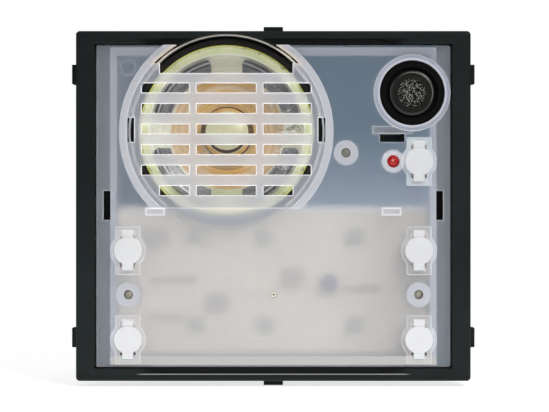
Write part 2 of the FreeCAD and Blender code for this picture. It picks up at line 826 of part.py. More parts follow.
def cover_rims():
    # what stands on the plate: rings, tubes, bosses, collars, stops and hooks
    hook_rear = "case_depth - hook_gap - hook_catch"
    made = [
        rod("mic_ring", "mic_x", "mic_z", "mic_ring_radius", "cover_rear - mic_tube_height", "module_depth"),
        rod("led_tube", "led_x", "led_z", "led_tube_radius", "cover_rear - led_tube_height", "cover_rear"),
        block("mic_bar", "mic_hook_x", "mic_hook_z + mic_bar_height / 2", "mic_bar_width", "mic_bar_height",
              "cover_rear - led_tube_height", "cover_rear"),
        block("mic_hook_beam", "mic_hook_x", "mic_hook_z + mic_hook_wall / 2", "mic_hook_width",
              "mic_hook_wall", hook_rear, "cover_rear"),
        block("mic_hook_catch", "mic_hook_x", "mic_hook_z - mic_hook_reach / 2", "mic_hook_width",
              "mic_hook_reach", hook_rear, f"{hook_rear} + hook_catch"),
    ]
    ring = rod("ring_rib_outside", "speaker_x", "speaker_z", "ring_rib_outer", "sheet_front + ring_rib_gap",
               "cover_rear")
    room = rod("ring_rib_inside", "speaker_x", "speaker_z", "ring_rib_outer - ring_rib_wall", "lip_front",
               "cover_rear + past")
    made.append(carved("ring_rib", ring, [room]))
    for name, (x, z) in bosses.items():
        made.append(rod(f"boss_{name}", x, z, "boss_radius", "lip_front", "cover_rear"))
    for name, (x, z) in keys.items():
        made += well_shape(f"collar_{name}", x, z, "cover_front", "cover_front + collar_height")
    for name, side in (("right", ""), ("left", "-")):
        stop = block(f"stop_block_{name}", f"{side}stop_x", "stop_z", "stop_width", "stop_height",
                     "sheet_front", "cover_rear")
        core = block(f"stop_core_{name}", f"{side}stop_x", "stop_z", "stop_width - 2 * stop_wall",
                     "stop_height - 2 * stop_wall", "lip_front", "cover_rear")
        made.append(carved(f"stop_{name}", stop, [core]))
        made.append(block(f"side_hook_{name}", f"{side}(rib_half_x - side_rib_wall / 2)", "hook_z",
                          "side_rib_wall", "hook_length", hook_rear, "lip_front"))
        made.append(block(f"side_catch_{name}", f"{side}(rib_half_x + hook_reach / 2)", "hook_z",
                          "hook_reach", "hook_length", hook_rear, f"{hook_rear} + hook_catch"))
    return made


def cover_openings():
    through = ("cover_rear", "module_depth + past")
    deep = ("cover_rear - rib_height - past", "module_depth + past")
    made = [
        rod("mic_hole", "mic_x", "mic_z", "mic_hole_radius", *deep),
        rod("led_hole", "led_x", "led_z", "led_radius + led_hole_gap", *deep),
        block("mic_hook_slot", "mic_hook_x", "mic_hook_z - mic_slot_height / 2", "mic_slot_width",
              "mic_slot_height", *through),
    ]
    for name, (x, z) in bosses.items():
        made.append(rod(f"boss_bore_{name}", x, z, "screw_hole", *deep))
    for name, (x, z) in keys.items():
        made += well_shape(f"well_{name}", x, z, "cover_rear", "cover_rear + well_depth")
        made.append(rod(f"key_hole_{name}", x, z, "key_radius + key_gap", *through))
        made.append(block(f"tab_gap_{name}", x, z, "tab_width + 2 * tab_side_gap", "tab_slot_height",
                          *through))
        made.append(block(f"tab_hole_{name}", x, z, "tab_width + 2 * key_gap", "tab_height + 2 * key_gap",
                          *through))
    for name, side in (("right", ""), ("left", "-")):
        made.append(block(f"hook_slot_{name}", f"{side}(rib_half_x + hook_slot_width / 2)", "hook_z",
                          "hook_slot_width", "hook_slot_length", *through))
    for name, sign in (("right", "+"), ("left", "-")):
        made.append(block(f"snap_slot_{name}", f"speaker_x {sign} (snap_slot_inner + snap_slot_width / 2)",
                          "snap_slot_z", "snap_slot_width", "snap_slot_length", *through))
    # three slots in a row; the lowest row is shorter at its outer ends
    for row in range(grille_rows):
        z = f"top_row_z - {row} * row_pitch"
        made.append(block(f"grille_middle_{row}", "speaker_x", z, "2 * middle_slot_half", "row_height",
                          *through))
        reach = "notch_half" if row == grille_rows - 1 else "outer_slot_end"
        start = "(middle_slot_half + grille_post)"
        for name, sign in (("right", "+"), ("left", "-")):
            made.append(block(f"grille_{name}_{row}", f"speaker_x {sign} ({reach} + {start}) / 2", z,
                              f"{reach} - {start}", "row_height", *through))
    # shallow marks of the mould: its gate in front, two ejectors behind
    dish = rod("gate_dish", "gate_x", "gate_z", "gate_radius", "cover_front - gate_sink", "module_depth")
    nub = rod("gate_nub", "gate_x", "gate_z", "gate_nub_radius", "lip_front", "module_depth + past")
    made.append(carved("gate_mark", dish, [nub]))
    for name, x, z in (("low", "gate_x", "low_ejector_z"), ("high", "left_key_x", "high_ejector_z")):
        made.append(rod(f"ejector_{name}", x, z, "ejector_radius", "cover_rear - past",
                        "cover_rear + ejector_sink"))
    return made


def front_cover():
    return carved("front_cover", joined("cover_blank", [cover_plate()] + cover_rims()), cover_openings())


def rear_case():
    case = body("rear_case")
    shell = sketch(case, "shell", "0")
    rectangle(shell, "-case_half_x", "-case_half_z", "case_half_x", "case_half_z")
    pad(case, shell, "case_depth")
    corners = depth_edges(case, value("case_half_x"), value("case_half_z"))
    soften(case, "Fillet", corners, "case_corner")
    inside = sketch(case, "inside", "case_depth")
    rectangle(inside, "-case_inner_x", "-case_inner_z", "case_inner_x", "case_inner_z")
    pocket(case, inside, "case_depth - case_floor")
    flange = sketch(case, "flange", "seat_depth")
    rectangle(flange, "-flange_half_x", "-flange_half_z", "flange_half_x", "flange_half_z")
    rectangle(flange, "-case_inner_x", "-case_inner_z", "case_inner_x", "case_inner_z")
    pad(case, flange, "case_flange")
    # wells that carry the front board and take the screws from behind
    wells = sketch(case, "wells", "case_floor / 2")
    for x, z in bosses.values():
        circle(wells, x, z, "well_tube_radius")
    pad(case, wells, "case_depth - case_floor / 2")
    posts = sketch(case, "posts", "case_floor / 2")
    for side in ("", "-"):
        for height in ("rear_board_top_z - post_inset", "rear_board_foot_z + post_inset"):
            circle(posts, f"{side}(rear_board_half - post_inset)", height, "post_radius")
    pad(case, posts, "rear_board_depth - case_floor / 2")
    bores = sketch(case, "well_bores")
    for x, z in bosses.values():
        circle(bores, x, z, "well_bore_radius")
    pocket(case, bores, "screw_seat", forward=True)
    shanks = sketch(case, "shank_holes")
    for x, z in bosses.values():
        circle(shanks, x, z, "screw_hole + screw_gap")
    pocket(case, shanks, "case_depth", forward=True)
    hook_room = sketch(case, "hook_room", "case_depth")
    for side in ("", "-"):
        centred(hook_room, f"{side}(rib_half_x + hook_reach / 2 - side_rib_wall / 2)", "hook_z",
                "side_rib_wall + hook_reach + 2 * hook_pocket_gap", "hook_length + 2 * hook_pocket_gap")
    pocket(case, hook_room, "hook_pocket_depth")
    # the way in for the plug and its wires, through the floor and the bottom wall
    way = sketch(case, "plug_way")
    rectangle(way, "-(plug_half + opening_gap)", "-(case_half_z + past)", "plug_half + opening_gap",
              "plug_foot_z + plug_head_height + opening_gap / 2")
    pocket(case, way, "header_rear", forward=True)
    holes = sketch(case, "floor_openings")
    for x in ("volume_trimmer_x", "mic_trimmer_x"):
        circle(holes, x, "trimmer_z", "rotor_radius + rotor_hole_gap")
    for x in ("socket_in_x", "socket_out_x"):
        centred(holes, x, "socket_z", "socket_width + 2 * floor_opening_gap",
                "socket_height + 2 * floor_opening_gap")
    centred(holes, "configurator_x", "configurator_z", "configurator_width + 2 * floor_opening_gap",
            "configurator_height + 2 * floor_opening_gap")
    pocket(case, holes, "case_floor", forward=True)
    return case


def case_screws():
    made = []
    for name, (x, z) in bosses.items():
        head = rod(f"screw_head_{name}", x, z, "screw_head_radius", "screw_seat - screw_head_height",
                   "screw_seat")
        shank = rod(f"screw_shank_{name}", x, z, "screw_radius", "screw_seat - screw_head_height / 2",
                    "screw_tip - screw_tip_cone")
        tip = taper(f"screw_tip_{name}", x, z, "screw_radius", "screw_radius / 2",
                    "screw_tip - screw_tip_cone", "screw_tip")
        whole = joined(f"screw_blank_{name}", [head, shank, tip])
        cross = [
            block(f"screw_slot_{name}_{turn}", x, z, width, height, "screw_seat - screw_head_height - past",
                  "screw_seat - screw_head_height + slot_depth")
            for turn, width, height in (("level", "cross_length", "slot_width"),
                                        ("upright", "slot_width", "cross_length"))
        ]
        made.append(carved(f"screw_{name}", whole, cross))
    return group("case_screws", made)


def key(name, x, z):
    # white cap with two tabs, a flange in the cover's well and a stem down to the switch
    owner = body(f"key_{name}", x, z)
    flange = sketch(owner, "flange", "key_flange_front - flange_thickness")
    centred(flange, "0", "0", "well_width - 2 * key_gap", "well_height - 2 * key_gap")
    pad(owner, flange, "flange_thickness")
    disc = sketch(owner, "disc", "key_flange_front - flange_thickness")
    circle(disc, "0", "0", "well_radius - key_gap")
    pad(owner, disc, "flange_thickness")
    cap = sketch(owner, "cap", "key_flange_front")
    circle(cap, "0", "0", "key_radius")
    pad(owner, cap, "key_front - key_flange_front")
    doc.recompute()
    front = -value("key_front")
    rim = [f"Edge{number}" for number, edge in enumerate(owner.Shape.Edges, 1)
           if abs(edge.CenterOfMass.y - front) < 1e-4]
    soften(owner, "Fillet", rim, "key_round")
    tabs = sketch(owner, "tabs", "key_flange_front")
    centred(tabs, "0", "0", "tab_width", "tab_height")
    pad(owner, tabs, "cover_front + tab_proud - key_flange_front")
    stem = sketch(owner, "stem", "plunger_front")
    circle(stem, "0", "0", "stem_radius")
    pad(owner, stem, "key_flange_front - flange_thickness - plunger_front")
    gaps = sketch(owner, "gaps", "key_flange_front")
    for side in ("-", ""):
        for end in ("-", ""):
            centred(gaps, f"{side}(tab_width + tab_side_gap) / 2",
                    f"{end}(tab_slot_height - flange_notch_length) / 2",
                    "tab_side_gap", "flange_notch_length")
    pocket(owner, gaps, "flange_thickness")
    return owner


def key_switch(name, x, z):
    case = block(f"switch_block_{name}", x, z, "switch_side", "switch_side", "lip_front", "switch_front")
    bore = rod(f"switch_bore_{name}", x, z, "plunger_radius + plunger_gap",
               "switch_front - 2 * key_travel - plunger_room", "switch_front + past")
    return carved(f"switch_{name}", case, [bore])


def switch_plunger(name, x, z):
    return rod(f"plunger_{name}", x, z, "plunger_radius", "switch_front - key_travel", "plunger_front")


def mic_boot():
    groove_floor = "boot_front - boot_groove_depth"
    lip_rear = "boot_front - boot_lip"
    return turned("mic_boot", "mic_x", "mic_z", [
        ("capsule_radius", "lip_front"), ("boot_radius", "lip_front"), ("boot_radius", "boot_front"),
        ("boot_groove_outer", "boot_front"), ("boot_groove_outer", groove_floor),
        ("boot_groove_inner", groove_floor), ("boot_groove_inner", "boot_front - boot_edge_drop"),
        ("boot_groove_inner - boot_edge_width", "boot_front", "boot_edge_radius", 1),
        ("boot_mouth_radius + boot_mouth_bevel", "boot_front"),
        ("boot_mouth_radius", "boot_front - boot_mouth_bevel"), ("boot_mouth_radius", lip_rear),
        ("capsule_radius", lip_rear),
    ])


def microphone():
    node(mic_boot())
    node(rod("mic_capsule", "mic_x", "mic_z", "capsule_radius", "lip_front", "capsule_front"))
    node(rod("mic_mesh", "mic_x", "mic_z", "capsule_radius - mesh_gap", "capsule_front",
             "capsule_front + mesh_thickness"))
    pins = [rod(f"mic_pin_{side}", f"mic_x {sign} lead_pitch / 2", "mic_z", "lead_side / 2",
                "case_depth - pin_tail", "lip_front")
            for side, sign in (("left", "-"), ("right", "+"))]
    node(group("mic_pins", pins))


def status_lamp():
    base = "lip_front + led_stand_off"
    tip = "cover_front + led_proud"
    node(turned("status_led", "led_x", "led_z", [
        ("0", base), ("led_flange_radius", base), ("led_flange_radius", f"{base} + led_flange_height"),
        ("led_radius", f"{base} + led_flange_height"), ("led_radius", f"{tip} - led_radius"),
        ("0", tip, "led_radius", -1),
    ]))
    leads = [block(f"led_lead_{side}", f"led_x {sign} lead_pitch / 2", "led_z", "lead_side", "lead_side",
                   "case_depth - pin_tail", base)
             for side, sign in (("left", "-"), ("right", "+"))]
    node(group("status_led_leads", leads))


def speaker_basket():
    basket = turned("speaker_basket", "speaker_x", "speaker_z", [
        ("speaker_radius", "rim_rear"), ("speaker_radius", "rim_front"),
        ("basket_mouth - rim_step_width", "rim_front"),
        ("basket_mouth - rim_step_width", "rim_front - rim_step_depth"),
        ("deck_radius - basket_wall", "deck_front"),
        ("deck_hole_radius", "deck_front"), ("deck_hole_radius", "deck_rear"), ("deck_radius", "deck_rear"),
        ("basket_mouth", "rim_rear"),
    ])
    # a flat ear behind the right spoke carries the tag board
    ear = sketch(basket, "ear", "deck_rear")
    rectangle(ear, "deck_radius - basket_wall", "-basket_ear_half", "speaker_radius", "basket_ear_half")
    pad(basket, ear, "basket_wall")
    # four windows on the diagonals
    window = sketch(basket, "window", "rim_front")
    inner = "sqrt(basket_window_inner ^ 2 - spoke_half ^ 2)"
    outer = "sqrt(basket_window_outer ^ 2 - spoke_half ^ 2)"
    outline(window, [
        (outer, "spoke_half"), ("spoke_half", outer, "basket_window_outer", 1), ("spoke_half", inner),
        (inner, "spoke_half", "basket_window_inner", -1),
    ])
    cut = pocket(basket, window, "rim_front - deck_front")
    pattern = basket.newObject("PartDesign::PolarPattern", "speaker_basket_windows")
    pattern.Originals = [cut]
    pattern.Axis = (window, ["N_Axis"])
    pattern.Angle = 360
    pattern.Occurrences = 4
    basket.Tip = pattern
    return basket


def loudspeaker():
    place = ("speaker_x", "speaker_z")
    node(speaker_basket())
    film = "film_thickness"
    roll = "(roll_width ^ 2 / 4 + roll_height ^ 2) / (2 * roll_height)"
    roll_inner = "basket_mouth + roll_seat - roll_width"
    node(turned("speaker_cone", *place, [
        ("coil_outer + film_inner_gap", f"former_front + {film}"),
        ("coil_outer + film_inner_gap", "former_front"),
        (roll_inner, "rim_front"), (f"{roll_inner} + roll_width", "rim_front", roll, 1),
        ("speaker_radius - film_outer_gap", "rim_front"),
        ("speaker_radius - film_outer_gap", f"rim_front + {film}"),
        (f"{roll_inner} + roll_width", f"rim_front + {film}"),
        (roll_inner, f"rim_front + {film}", roll, -1),
    ]))
    dome = "(coil_outer ^ 2 + dome_height ^ 2) / (2 * dome_height)"
    inner_radius, inner_height = "(coil_outer - dome_edge)", "(dome_height - film_thickness)"
    inner_dome = f"({inner_radius} ^ 2 + {inner_height} ^ 2) / (2 * {inner_height})"
    node(turned("speaker_dome", *place, [
        ("0", f"former_front + {inner_height}"), (inner_radius, "former_front", inner_dome, 1),
        ("coil_outer", "former_front"), ("0", "former_front + dome_height", dome, -1),
    ]))
    node(tube("voice_coil", *place, "former_outer", "coil_outer", "magnet_front - coil_rear_reach",
              "deck_rear + coil_front_reach"))
    node(tube("coil_former", *place, "former_inner", "former_outer", "magnet_front - former_rear_reach",
              "former_front"))
    node(tube("speaker_top_plate", *place, "plate_bore", "top_plate_radius", "magnet_front", "deck_rear"))
    node(tube("speaker_magnet", *place, "magnet_inner", "magnet_radius", "magnet_rear", "magnet_front"))
    node(turned("speaker_yoke", *place, [
        ("0", "yoke_rear"), ("yoke_radius", "yoke_rear"), ("yoke_radius", "magnet_rear"),
        ("pole_radius", "magnet_rear"), ("pole_radius", "deck_rear"), ("0", "deck_rear"),
    ]))
    node(turned("speaker_foam_ring", *place, [
        ("foam_hole_radius", "lip_front"), ("foam_radius", "lip_front"),
        ("foam_radius", "cover_rear - foam_gap"), ("speaker_radius + foam_gap", "cover_rear - foam_gap"),
        ("speaker_radius + foam_gap", "rim_rear"), ("foam_hole_radius", "rim_rear"),
    ]))
    node(block("speaker_tag_board", "speaker_x + tag_board_start + tag_board_width / 2", "speaker_z",
               "tag_board_width", "2 * basket_ear_half", "deck_front", "tag_board_front"))
    tags = [block(f"speaker_tag_{side}", "tag_start + tag_length / 2", f"speaker_z {sign} tag_offset",
                  "tag_length", "tag_width", "tag_board_front", "tag_front")
            for side, sign in (("upper", "+"), ("lower", "-"))]
    node(group("speaker_tags", tags))
    node(speaker_wire("red", "+"))
    node(speaker_wire("black", "-"))


def speaker_wire(colour, sign):
    # from its tag outwards, down past the ear and up to the back of the front board,
    # as straight runs joined by tangent arcs
    made = doc.addObject("Part::Feature", f"speaker_wire_{colour}")
    z = value(f"speaker_z {sign} tag_offset")
    start = value("tag_start + tag_length + wire_gap")
    run = value("wire_run")
    front, level = value("case_depth"), value("tag_front - wire_gap")
    places = [(start, level), (start + run * 0.5, level), (start + run * 1.1, level - value("wire_drop")),
              (start + run * 1.7, front - value("wire_rise")), (start + run * 1.7, front)]
    corners = [Vector(x, -depth, z) for x, depth in places]
    edges = []
    here = corners[0]
    for before, at, after in zip(corners, corners[1:], corners[2:]):
        arrive, leave = (at - before), (after - at)
        turn = arrive.getAngle(leave)
        cut = 0.45 * min(arrive.Length, leave.Length)
        radius = cut / math.tan(turn / 2)
        into, out = arrive.normalize(), leave.normalize()
        tail, head = at - into * cut, at + out * cut
        inward = (out - into).normalize()
        middle_point = at + inward * (radius / math.cos(turn / 2) - radius)
        edges.append(Part.LineSegment(here, tail).toShape())
        edges.append(Part.Arc(tail, middle_point, head).toShape())
        here = head
    edges.append(Part.LineSegment(here, corners[-1]).toShape())
    path = Part.Wire(edges)
    ring = Part.Wire([Part.Circle(corners[0], Vector(1, 0, 0), value("wire_radius")).toShape()])
    made.Shape = path.makePipeShell([ring], True, False)
    return made


def front_board():
    board = body("front_board")
    panel = sketch(board, "panel", "case_depth")
    rectangle(panel, "-board_half_x", "-board_half_z", "board_half_x", "board_half_z")
    pad(board, panel, "board_thickness")
    mouth = sketch(board, "speaker_hole", "lip_front")
    circle(mouth, "speaker_x", "speaker_z", "foam_hole_radius")
    pocket(board, mouth, "board_thickness")
    holes = sketch(board, "holes", "lip_front")
    for x, z in bosses.values():
        circle(holes, x, z, "screw_hole + screw_gap")
    for x, z in (("mic_x", "mic_z"), ("led_x", "led_z")):
        for sign in ("-", "+"):
            circle(holes, f"{x} {sign} lead_pitch / 2", z, "lead_side")
    rectangle(holes, "mic_hook_x - mic_hook_width / 2 - hook_pocket_gap", "mic_hook_z - hook_gap",
              "mic_hook_x + mic_hook_width / 2 + hook_pocket_gap",
              "mic_hook_z + mic_hook_wall + hook_pocket_gap")
    pocket(board, holes, "board_thickness")
    return board


def lamp_places():
    return [(x, z) for z in label_led_rows for x in label_led_columns]


def chip_places():
    # three alike packages, one near the left edge, one low and one near the middle
    return {
        "left": ("chip_left_x", "label_led_upper_z"),
        "low": ("chip_low_x", "chip_low_z"),
        "middle": ("chip_middle_x", "chip_middle_z"),
    }


def passive_places():
    # two short rows in the left half and one beside the capacitor
    rows = {"upper": 4, "lower": 3, "right": 3}
    return [(f"passive_{row}_x + {at} * passive_pitch", f"passive_{row}_z")
            for row, count in rows.items() for at in range(count)]


def reflector_sheet():
    # white sheet on the lower part of the board, cut out round all that stands on it
    height = "sheet_top_z + board_half_z - sheet_inset"
    blank = block("sheet_blank", "0", f"sheet_top_z - ({height}) / 2", "2 * (board_half_x - sheet_inset)",
                  height, "lip_front", "sheet_front")
    through = ("lip_front - past", "sheet_front + past")
    cutouts = [rod("sheet_bay", "speaker_x", "speaker_z", "foam_radius + sheet_arc_gap", *through)]
    for name in ("left", "right"):
        cutouts.append(rod(f"sheet_boss_{name}", *bosses[name], "boss_radius + cutout_gap / 2", *through))
    standing = [(keys[name], "switch_side", "switch_side")
                for name in ("right_top", "right_bottom", "left_top", "left_bottom")]
    standing += [(place, "label_led_width", "label_led_height") for place in lamp_places()]
    standing += [(place, "chip_width", "chip_height") for place in chip_places().values()]
    standing += [(place, "passive_width", "passive_height") for place in passive_places()]
    standing.append((("capacitor_x", "capacitor_z"), "capacitor_base", "capacitor_base"))
    for at, (place, width, height) in enumerate(standing):
        cutouts.append(block(f"sheet_cutout_{at}", *place, f"{width} + cutout_gap", f"{height} + cutout_gap",
                             *through))
    return carved("reflector_sheet", blank, cutouts)


def board_parts():
    lamps = [block(f"label_led_{at}", x, z, "label_led_width", "label_led_height", "lip_front",
                   "lip_front + label_led_depth")
             for at, (x, z) in enumerate(lamp_places(), 1)]
    node(group("label_leds", lamps))
    chips = [block(f"chip_{name}", x, z, "chip_width", "chip_height", "lip_front", "lip_front + chip_depth")
             for name, (x, z) in chip_places().items()]
    node(group("front_board_chips", chips))
    small = [block(f"passive_{at}", x, z, "passive_width", "passive_height", "lip_front",
                   "lip_front + passive_depth")
             for at, (x, z) in enumerate(passive_places(), 1)]
    node(group("front_board_passives", small))
    foot = block("capacitor_foot", "capacitor_x", "capacitor_z", "capacitor_base", "capacitor_base",
                 "lip_front", "lip_front + capacitor_base_height")
    can = rod("capacitor_can", "capacitor_x", "capacitor_z", "capacitor_radius",
              "lip_front + capacitor_base_height / 2", "lip_front + capacitor_height")
    node(joined("storage_capacitor", [foot, can]))


def rear_board():
    board = body("rear_board")
    panel = sketch(board, "panel", "rear_board_depth")
    rectangle(panel, "-rear_board_half", "rear_board_foot_z", "rear_board_half", "rear_board_top_z")
    pad(board, panel, "board_thickness")
    return board


def terminal_columns():
    return [f"{at - (terminals - 1) / 2} * terminal_pitch" for at in range(terminals)]


def terminal_block():
    header = body("terminal_header")
    low = "plug_neck_z - header_gap"
    high = "plug_neck_z + plug_neck_height + header_gap"
    shell = sketch(header, "shell", "header_rear")
    rectangle(shell, "-(plug_half + header_gap + header_wall)", f"{low} - header_wall",
              "plug_half + header_gap + header_wall", f"{high} + header_wall")
    pad(header, shell, "header_depth")
    cavity = sketch(header, "cavity", "header_rear")
    rectangle(cavity, "-(plug_half + header_gap)", low, "plug_half + header_gap", high)
    pocket(header, cavity, "header_depth - header_floor", forward=True)
    node(header)
    middle = "plug_neck_z + plug_neck_height / 2"
    pins = [block(f"terminal_pin_{at}", x, middle, "terminal_pin_side", "terminal_pin_side",
                  "header_inner_front - terminal_pin_length", "header_inner_front")
            for at, x in enumerate(terminal_columns(), 1)]
    node(group("terminal_pins", pins))

    plug = body("terminal_plug")
    head = sketch(plug, "head", "plug_rear")
    rectangle(head, "-plug_half", "plug_foot_z", "plug_half", "plug_foot_z + plug_head_height")
    pad(plug, head, "plug_head_depth")
    neck = sketch(plug, "neck", "plug_head_front")
    rectangle(neck, "-plug_half", "plug_neck_z", "plug_half", "plug_neck_z + plug_neck_height")
    pad(plug, neck, "plug_neck_front - plug_head_front")
    sockets = sketch(plug, "pin_sockets", "plug_neck_front")
    room = "terminal_pin_side + 2 * pin_socket_gap"
    for x in terminal_columns():
        centred(sockets, x, middle, room, room)
    pocket(plug, sockets, "terminal_pin_length + pin_socket_gap")
    wells = sketch(plug, "screw_wells", "plug_rear")
    for x in terminal_columns():
        circle(wells, x, "clamp_z", "clamp_well_radius")
    pocket(plug, wells, "clamp_well_depth", forward=True)
    entries = sketch(plug, "wire_entries", "plug_foot_z", plane="XY_Plane")
    entry_front = "plug_head_front - wire_entry_setback"
    for x in terminal_columns():
        rectangle(entries, f"{x} - wire_entry_width / 2", f"-({entry_front})",
                  f"{x} + wire_entry_width / 2", f"-({entry_front} - wire_entry_depth)")
    pocket(plug, entries, "wire_entry_length", forward=True)
    node(plug)
    screws = []
    for at, x in enumerate(terminal_columns(), 1):
        rear = "plug_rear + clamp_well_depth - clamp_screw_height"
        blank = rod(f"clamp_blank_{at}", x, "clamp_z", "clamp_screw_radius", rear,
                    "plug_rear + clamp_well_depth")
        groove = block(f"clamp_groove_{at}", x, "clamp_z", "slot_width", "2 * clamp_screw_radius + past",
                       f"{rear} - past", f"{rear} + slot_depth")
        screws.append(carved(f"clamp_screw_{at}", blank, [groove]))
    node(group("terminal_screws", screws))


def trimmer(name, x):
    case = block(f"{name}_block", x, "trimmer_z", "trimmer_side", "trimmer_side", "trimmer_rear",
                 "rear_board_depth")
    bore = rod(f"{name}_bore", x, "trimmer_z", "rotor_bore", "trimmer_rear - past",
               "trimmer_rear + rotor_spindle_length + rotor_gap")
    node(carved(f"{name}_trimmer", case, [bore]))
    shaft = rod(f"{name}_shaft", x, "trimmer_z", "rotor_radius", "rotor_sink", "trimmer_rear - rotor_gap")
    spindle = rod(f"{name}_spindle", x, "trimmer_z", "rotor_spindle_radius", "trimmer_rear - 2 * rotor_gap",
                  "trimmer_rear + rotor_spindle_length")
    groove = block(f"{name}_groove", x, "trimmer_z", "slot_width", "2 * rotor_radius + past",
                   "rotor_sink - past", "rotor_sink + slot_depth")
    node(carved(f"{name}_rotor", joined(f"{name}_rotor_blank", [shaft, spindle]), [groove]))


def link_socket(side, x):
    case = block(f"link_shell_{side}", x, "socket_z", "socket_width", "socket_height", "socket_rear",
                 "rear_board_depth")
    cavity = block(f"link_cavity_{side}", x, "socket_z", "socket_width - 2 * socket_wall",
                   "socket_height - 2 * socket_wall", "socket_rear - past", "socket_cavity_front")
    return carved(f"link_socket_{side}", case, [cavity])


def connectors():
    node(block("board_link_header", "0", "link_z", "link_width", "link_height", "rear_board_front",
               "case_depth"))
    terminal_block()
    trimmer("volume", "volume_trimmer_x")
    trimmer("mic", "mic_trimmer_x")
    pins = []
    for side in ("in", "out"):
        x = f"socket_{side}_x"
        node(link_socket(side, x))
        for at in range(socket_pins):
            place = f"{x} + {at - (socket_pins - 1) / 2} * socket_pin_pitch"
            pins.append(block(f"link_pin_{side}_{at}", place, "socket_z", "socket_pin_side",
                              "socket_pin_side", "socket_cavity_front - socket_pin_length",
                              "socket_cavity_front"))
    node(group("link_pins", pins))
    case = block("configurator_block", "configurator_x", "configurator_z", "configurator_width",
                 "configurator_height", "configurator_rear", "rear_board_depth")
    slots = []
    for at in range(configurator_slots):
        place = f"configurator_x + {at - (configurator_slots - 1) / 2} * configurator_pitch"
        slots.append(block(f"configurator_slot_{at}", place, "configurator_z", "configurator_slot_width",
                           "configurator_slot_height", "configurator_rear - past",
                           "configurator_rear + configurator_slot_depth"))
    node(carved("configurator_socket", case, slots))


def build():
    node(front_frame())
    node(front_cover())
    node(rear_case())
    node(case_screws())
    for name, (x, z) in keys.items():
        node(key(name, x, z))
        node(key_switch(name, x, z))
        node(switch_plunger(name, x, z))
    microphone()
    status_lamp()
    loudspeaker()
    node(front_board())
    node(reflector_sheet())
    board_parts()
    node(rear_board())
    connectors()


def check():
    for made in doc.Objects:
        if "Invalid" in made.State or "Error" in made.State:
            raise ValueError(f"{made.Name} failed: {made.State}")
    for made in nodes:
        if made.Shape.isNull() or not made.Shape.isValid() or not made.Shape.Solids:
            raise ValueError(f"{made.Label} has no valid shape")


build()
doc.recompute()
check()
os.makedirs("parts", exist_ok=True)
for made in nodes:
    made.Shape.exportStep(f"parts/{made.Label}.step")
    print(made.Label, len(made.Shape.Solids), round(made.Shape.Volume, 2))
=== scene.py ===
import bpy
import bmesh
import json
import math
from mathutils import Euler, Matrix, Vector

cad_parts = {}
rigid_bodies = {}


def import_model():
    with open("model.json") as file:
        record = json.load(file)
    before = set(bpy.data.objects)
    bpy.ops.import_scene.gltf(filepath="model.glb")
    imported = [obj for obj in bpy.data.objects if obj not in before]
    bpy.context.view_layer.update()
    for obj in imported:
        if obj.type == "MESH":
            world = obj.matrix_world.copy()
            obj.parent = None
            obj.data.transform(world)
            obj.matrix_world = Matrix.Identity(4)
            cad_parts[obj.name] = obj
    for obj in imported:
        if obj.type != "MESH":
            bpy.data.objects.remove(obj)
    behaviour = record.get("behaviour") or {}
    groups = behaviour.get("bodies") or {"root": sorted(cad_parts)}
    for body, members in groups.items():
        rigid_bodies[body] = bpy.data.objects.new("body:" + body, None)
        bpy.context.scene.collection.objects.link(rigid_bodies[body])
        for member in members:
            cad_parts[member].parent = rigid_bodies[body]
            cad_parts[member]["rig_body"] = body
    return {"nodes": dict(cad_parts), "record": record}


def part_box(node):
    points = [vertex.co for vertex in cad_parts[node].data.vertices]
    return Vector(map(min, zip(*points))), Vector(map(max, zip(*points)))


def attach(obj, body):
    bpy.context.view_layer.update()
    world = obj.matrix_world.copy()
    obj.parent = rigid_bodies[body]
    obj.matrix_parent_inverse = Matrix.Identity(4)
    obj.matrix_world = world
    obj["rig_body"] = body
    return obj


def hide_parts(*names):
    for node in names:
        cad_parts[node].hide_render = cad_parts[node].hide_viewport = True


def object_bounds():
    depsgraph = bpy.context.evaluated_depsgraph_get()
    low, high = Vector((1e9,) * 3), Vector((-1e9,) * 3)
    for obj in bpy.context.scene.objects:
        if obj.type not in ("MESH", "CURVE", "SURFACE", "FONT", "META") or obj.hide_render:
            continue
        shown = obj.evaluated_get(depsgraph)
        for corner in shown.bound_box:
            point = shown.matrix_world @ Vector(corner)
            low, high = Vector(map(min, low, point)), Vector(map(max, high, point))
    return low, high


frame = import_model()
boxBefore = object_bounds()
nodes = frame["nodes"]
print("frame loaded")


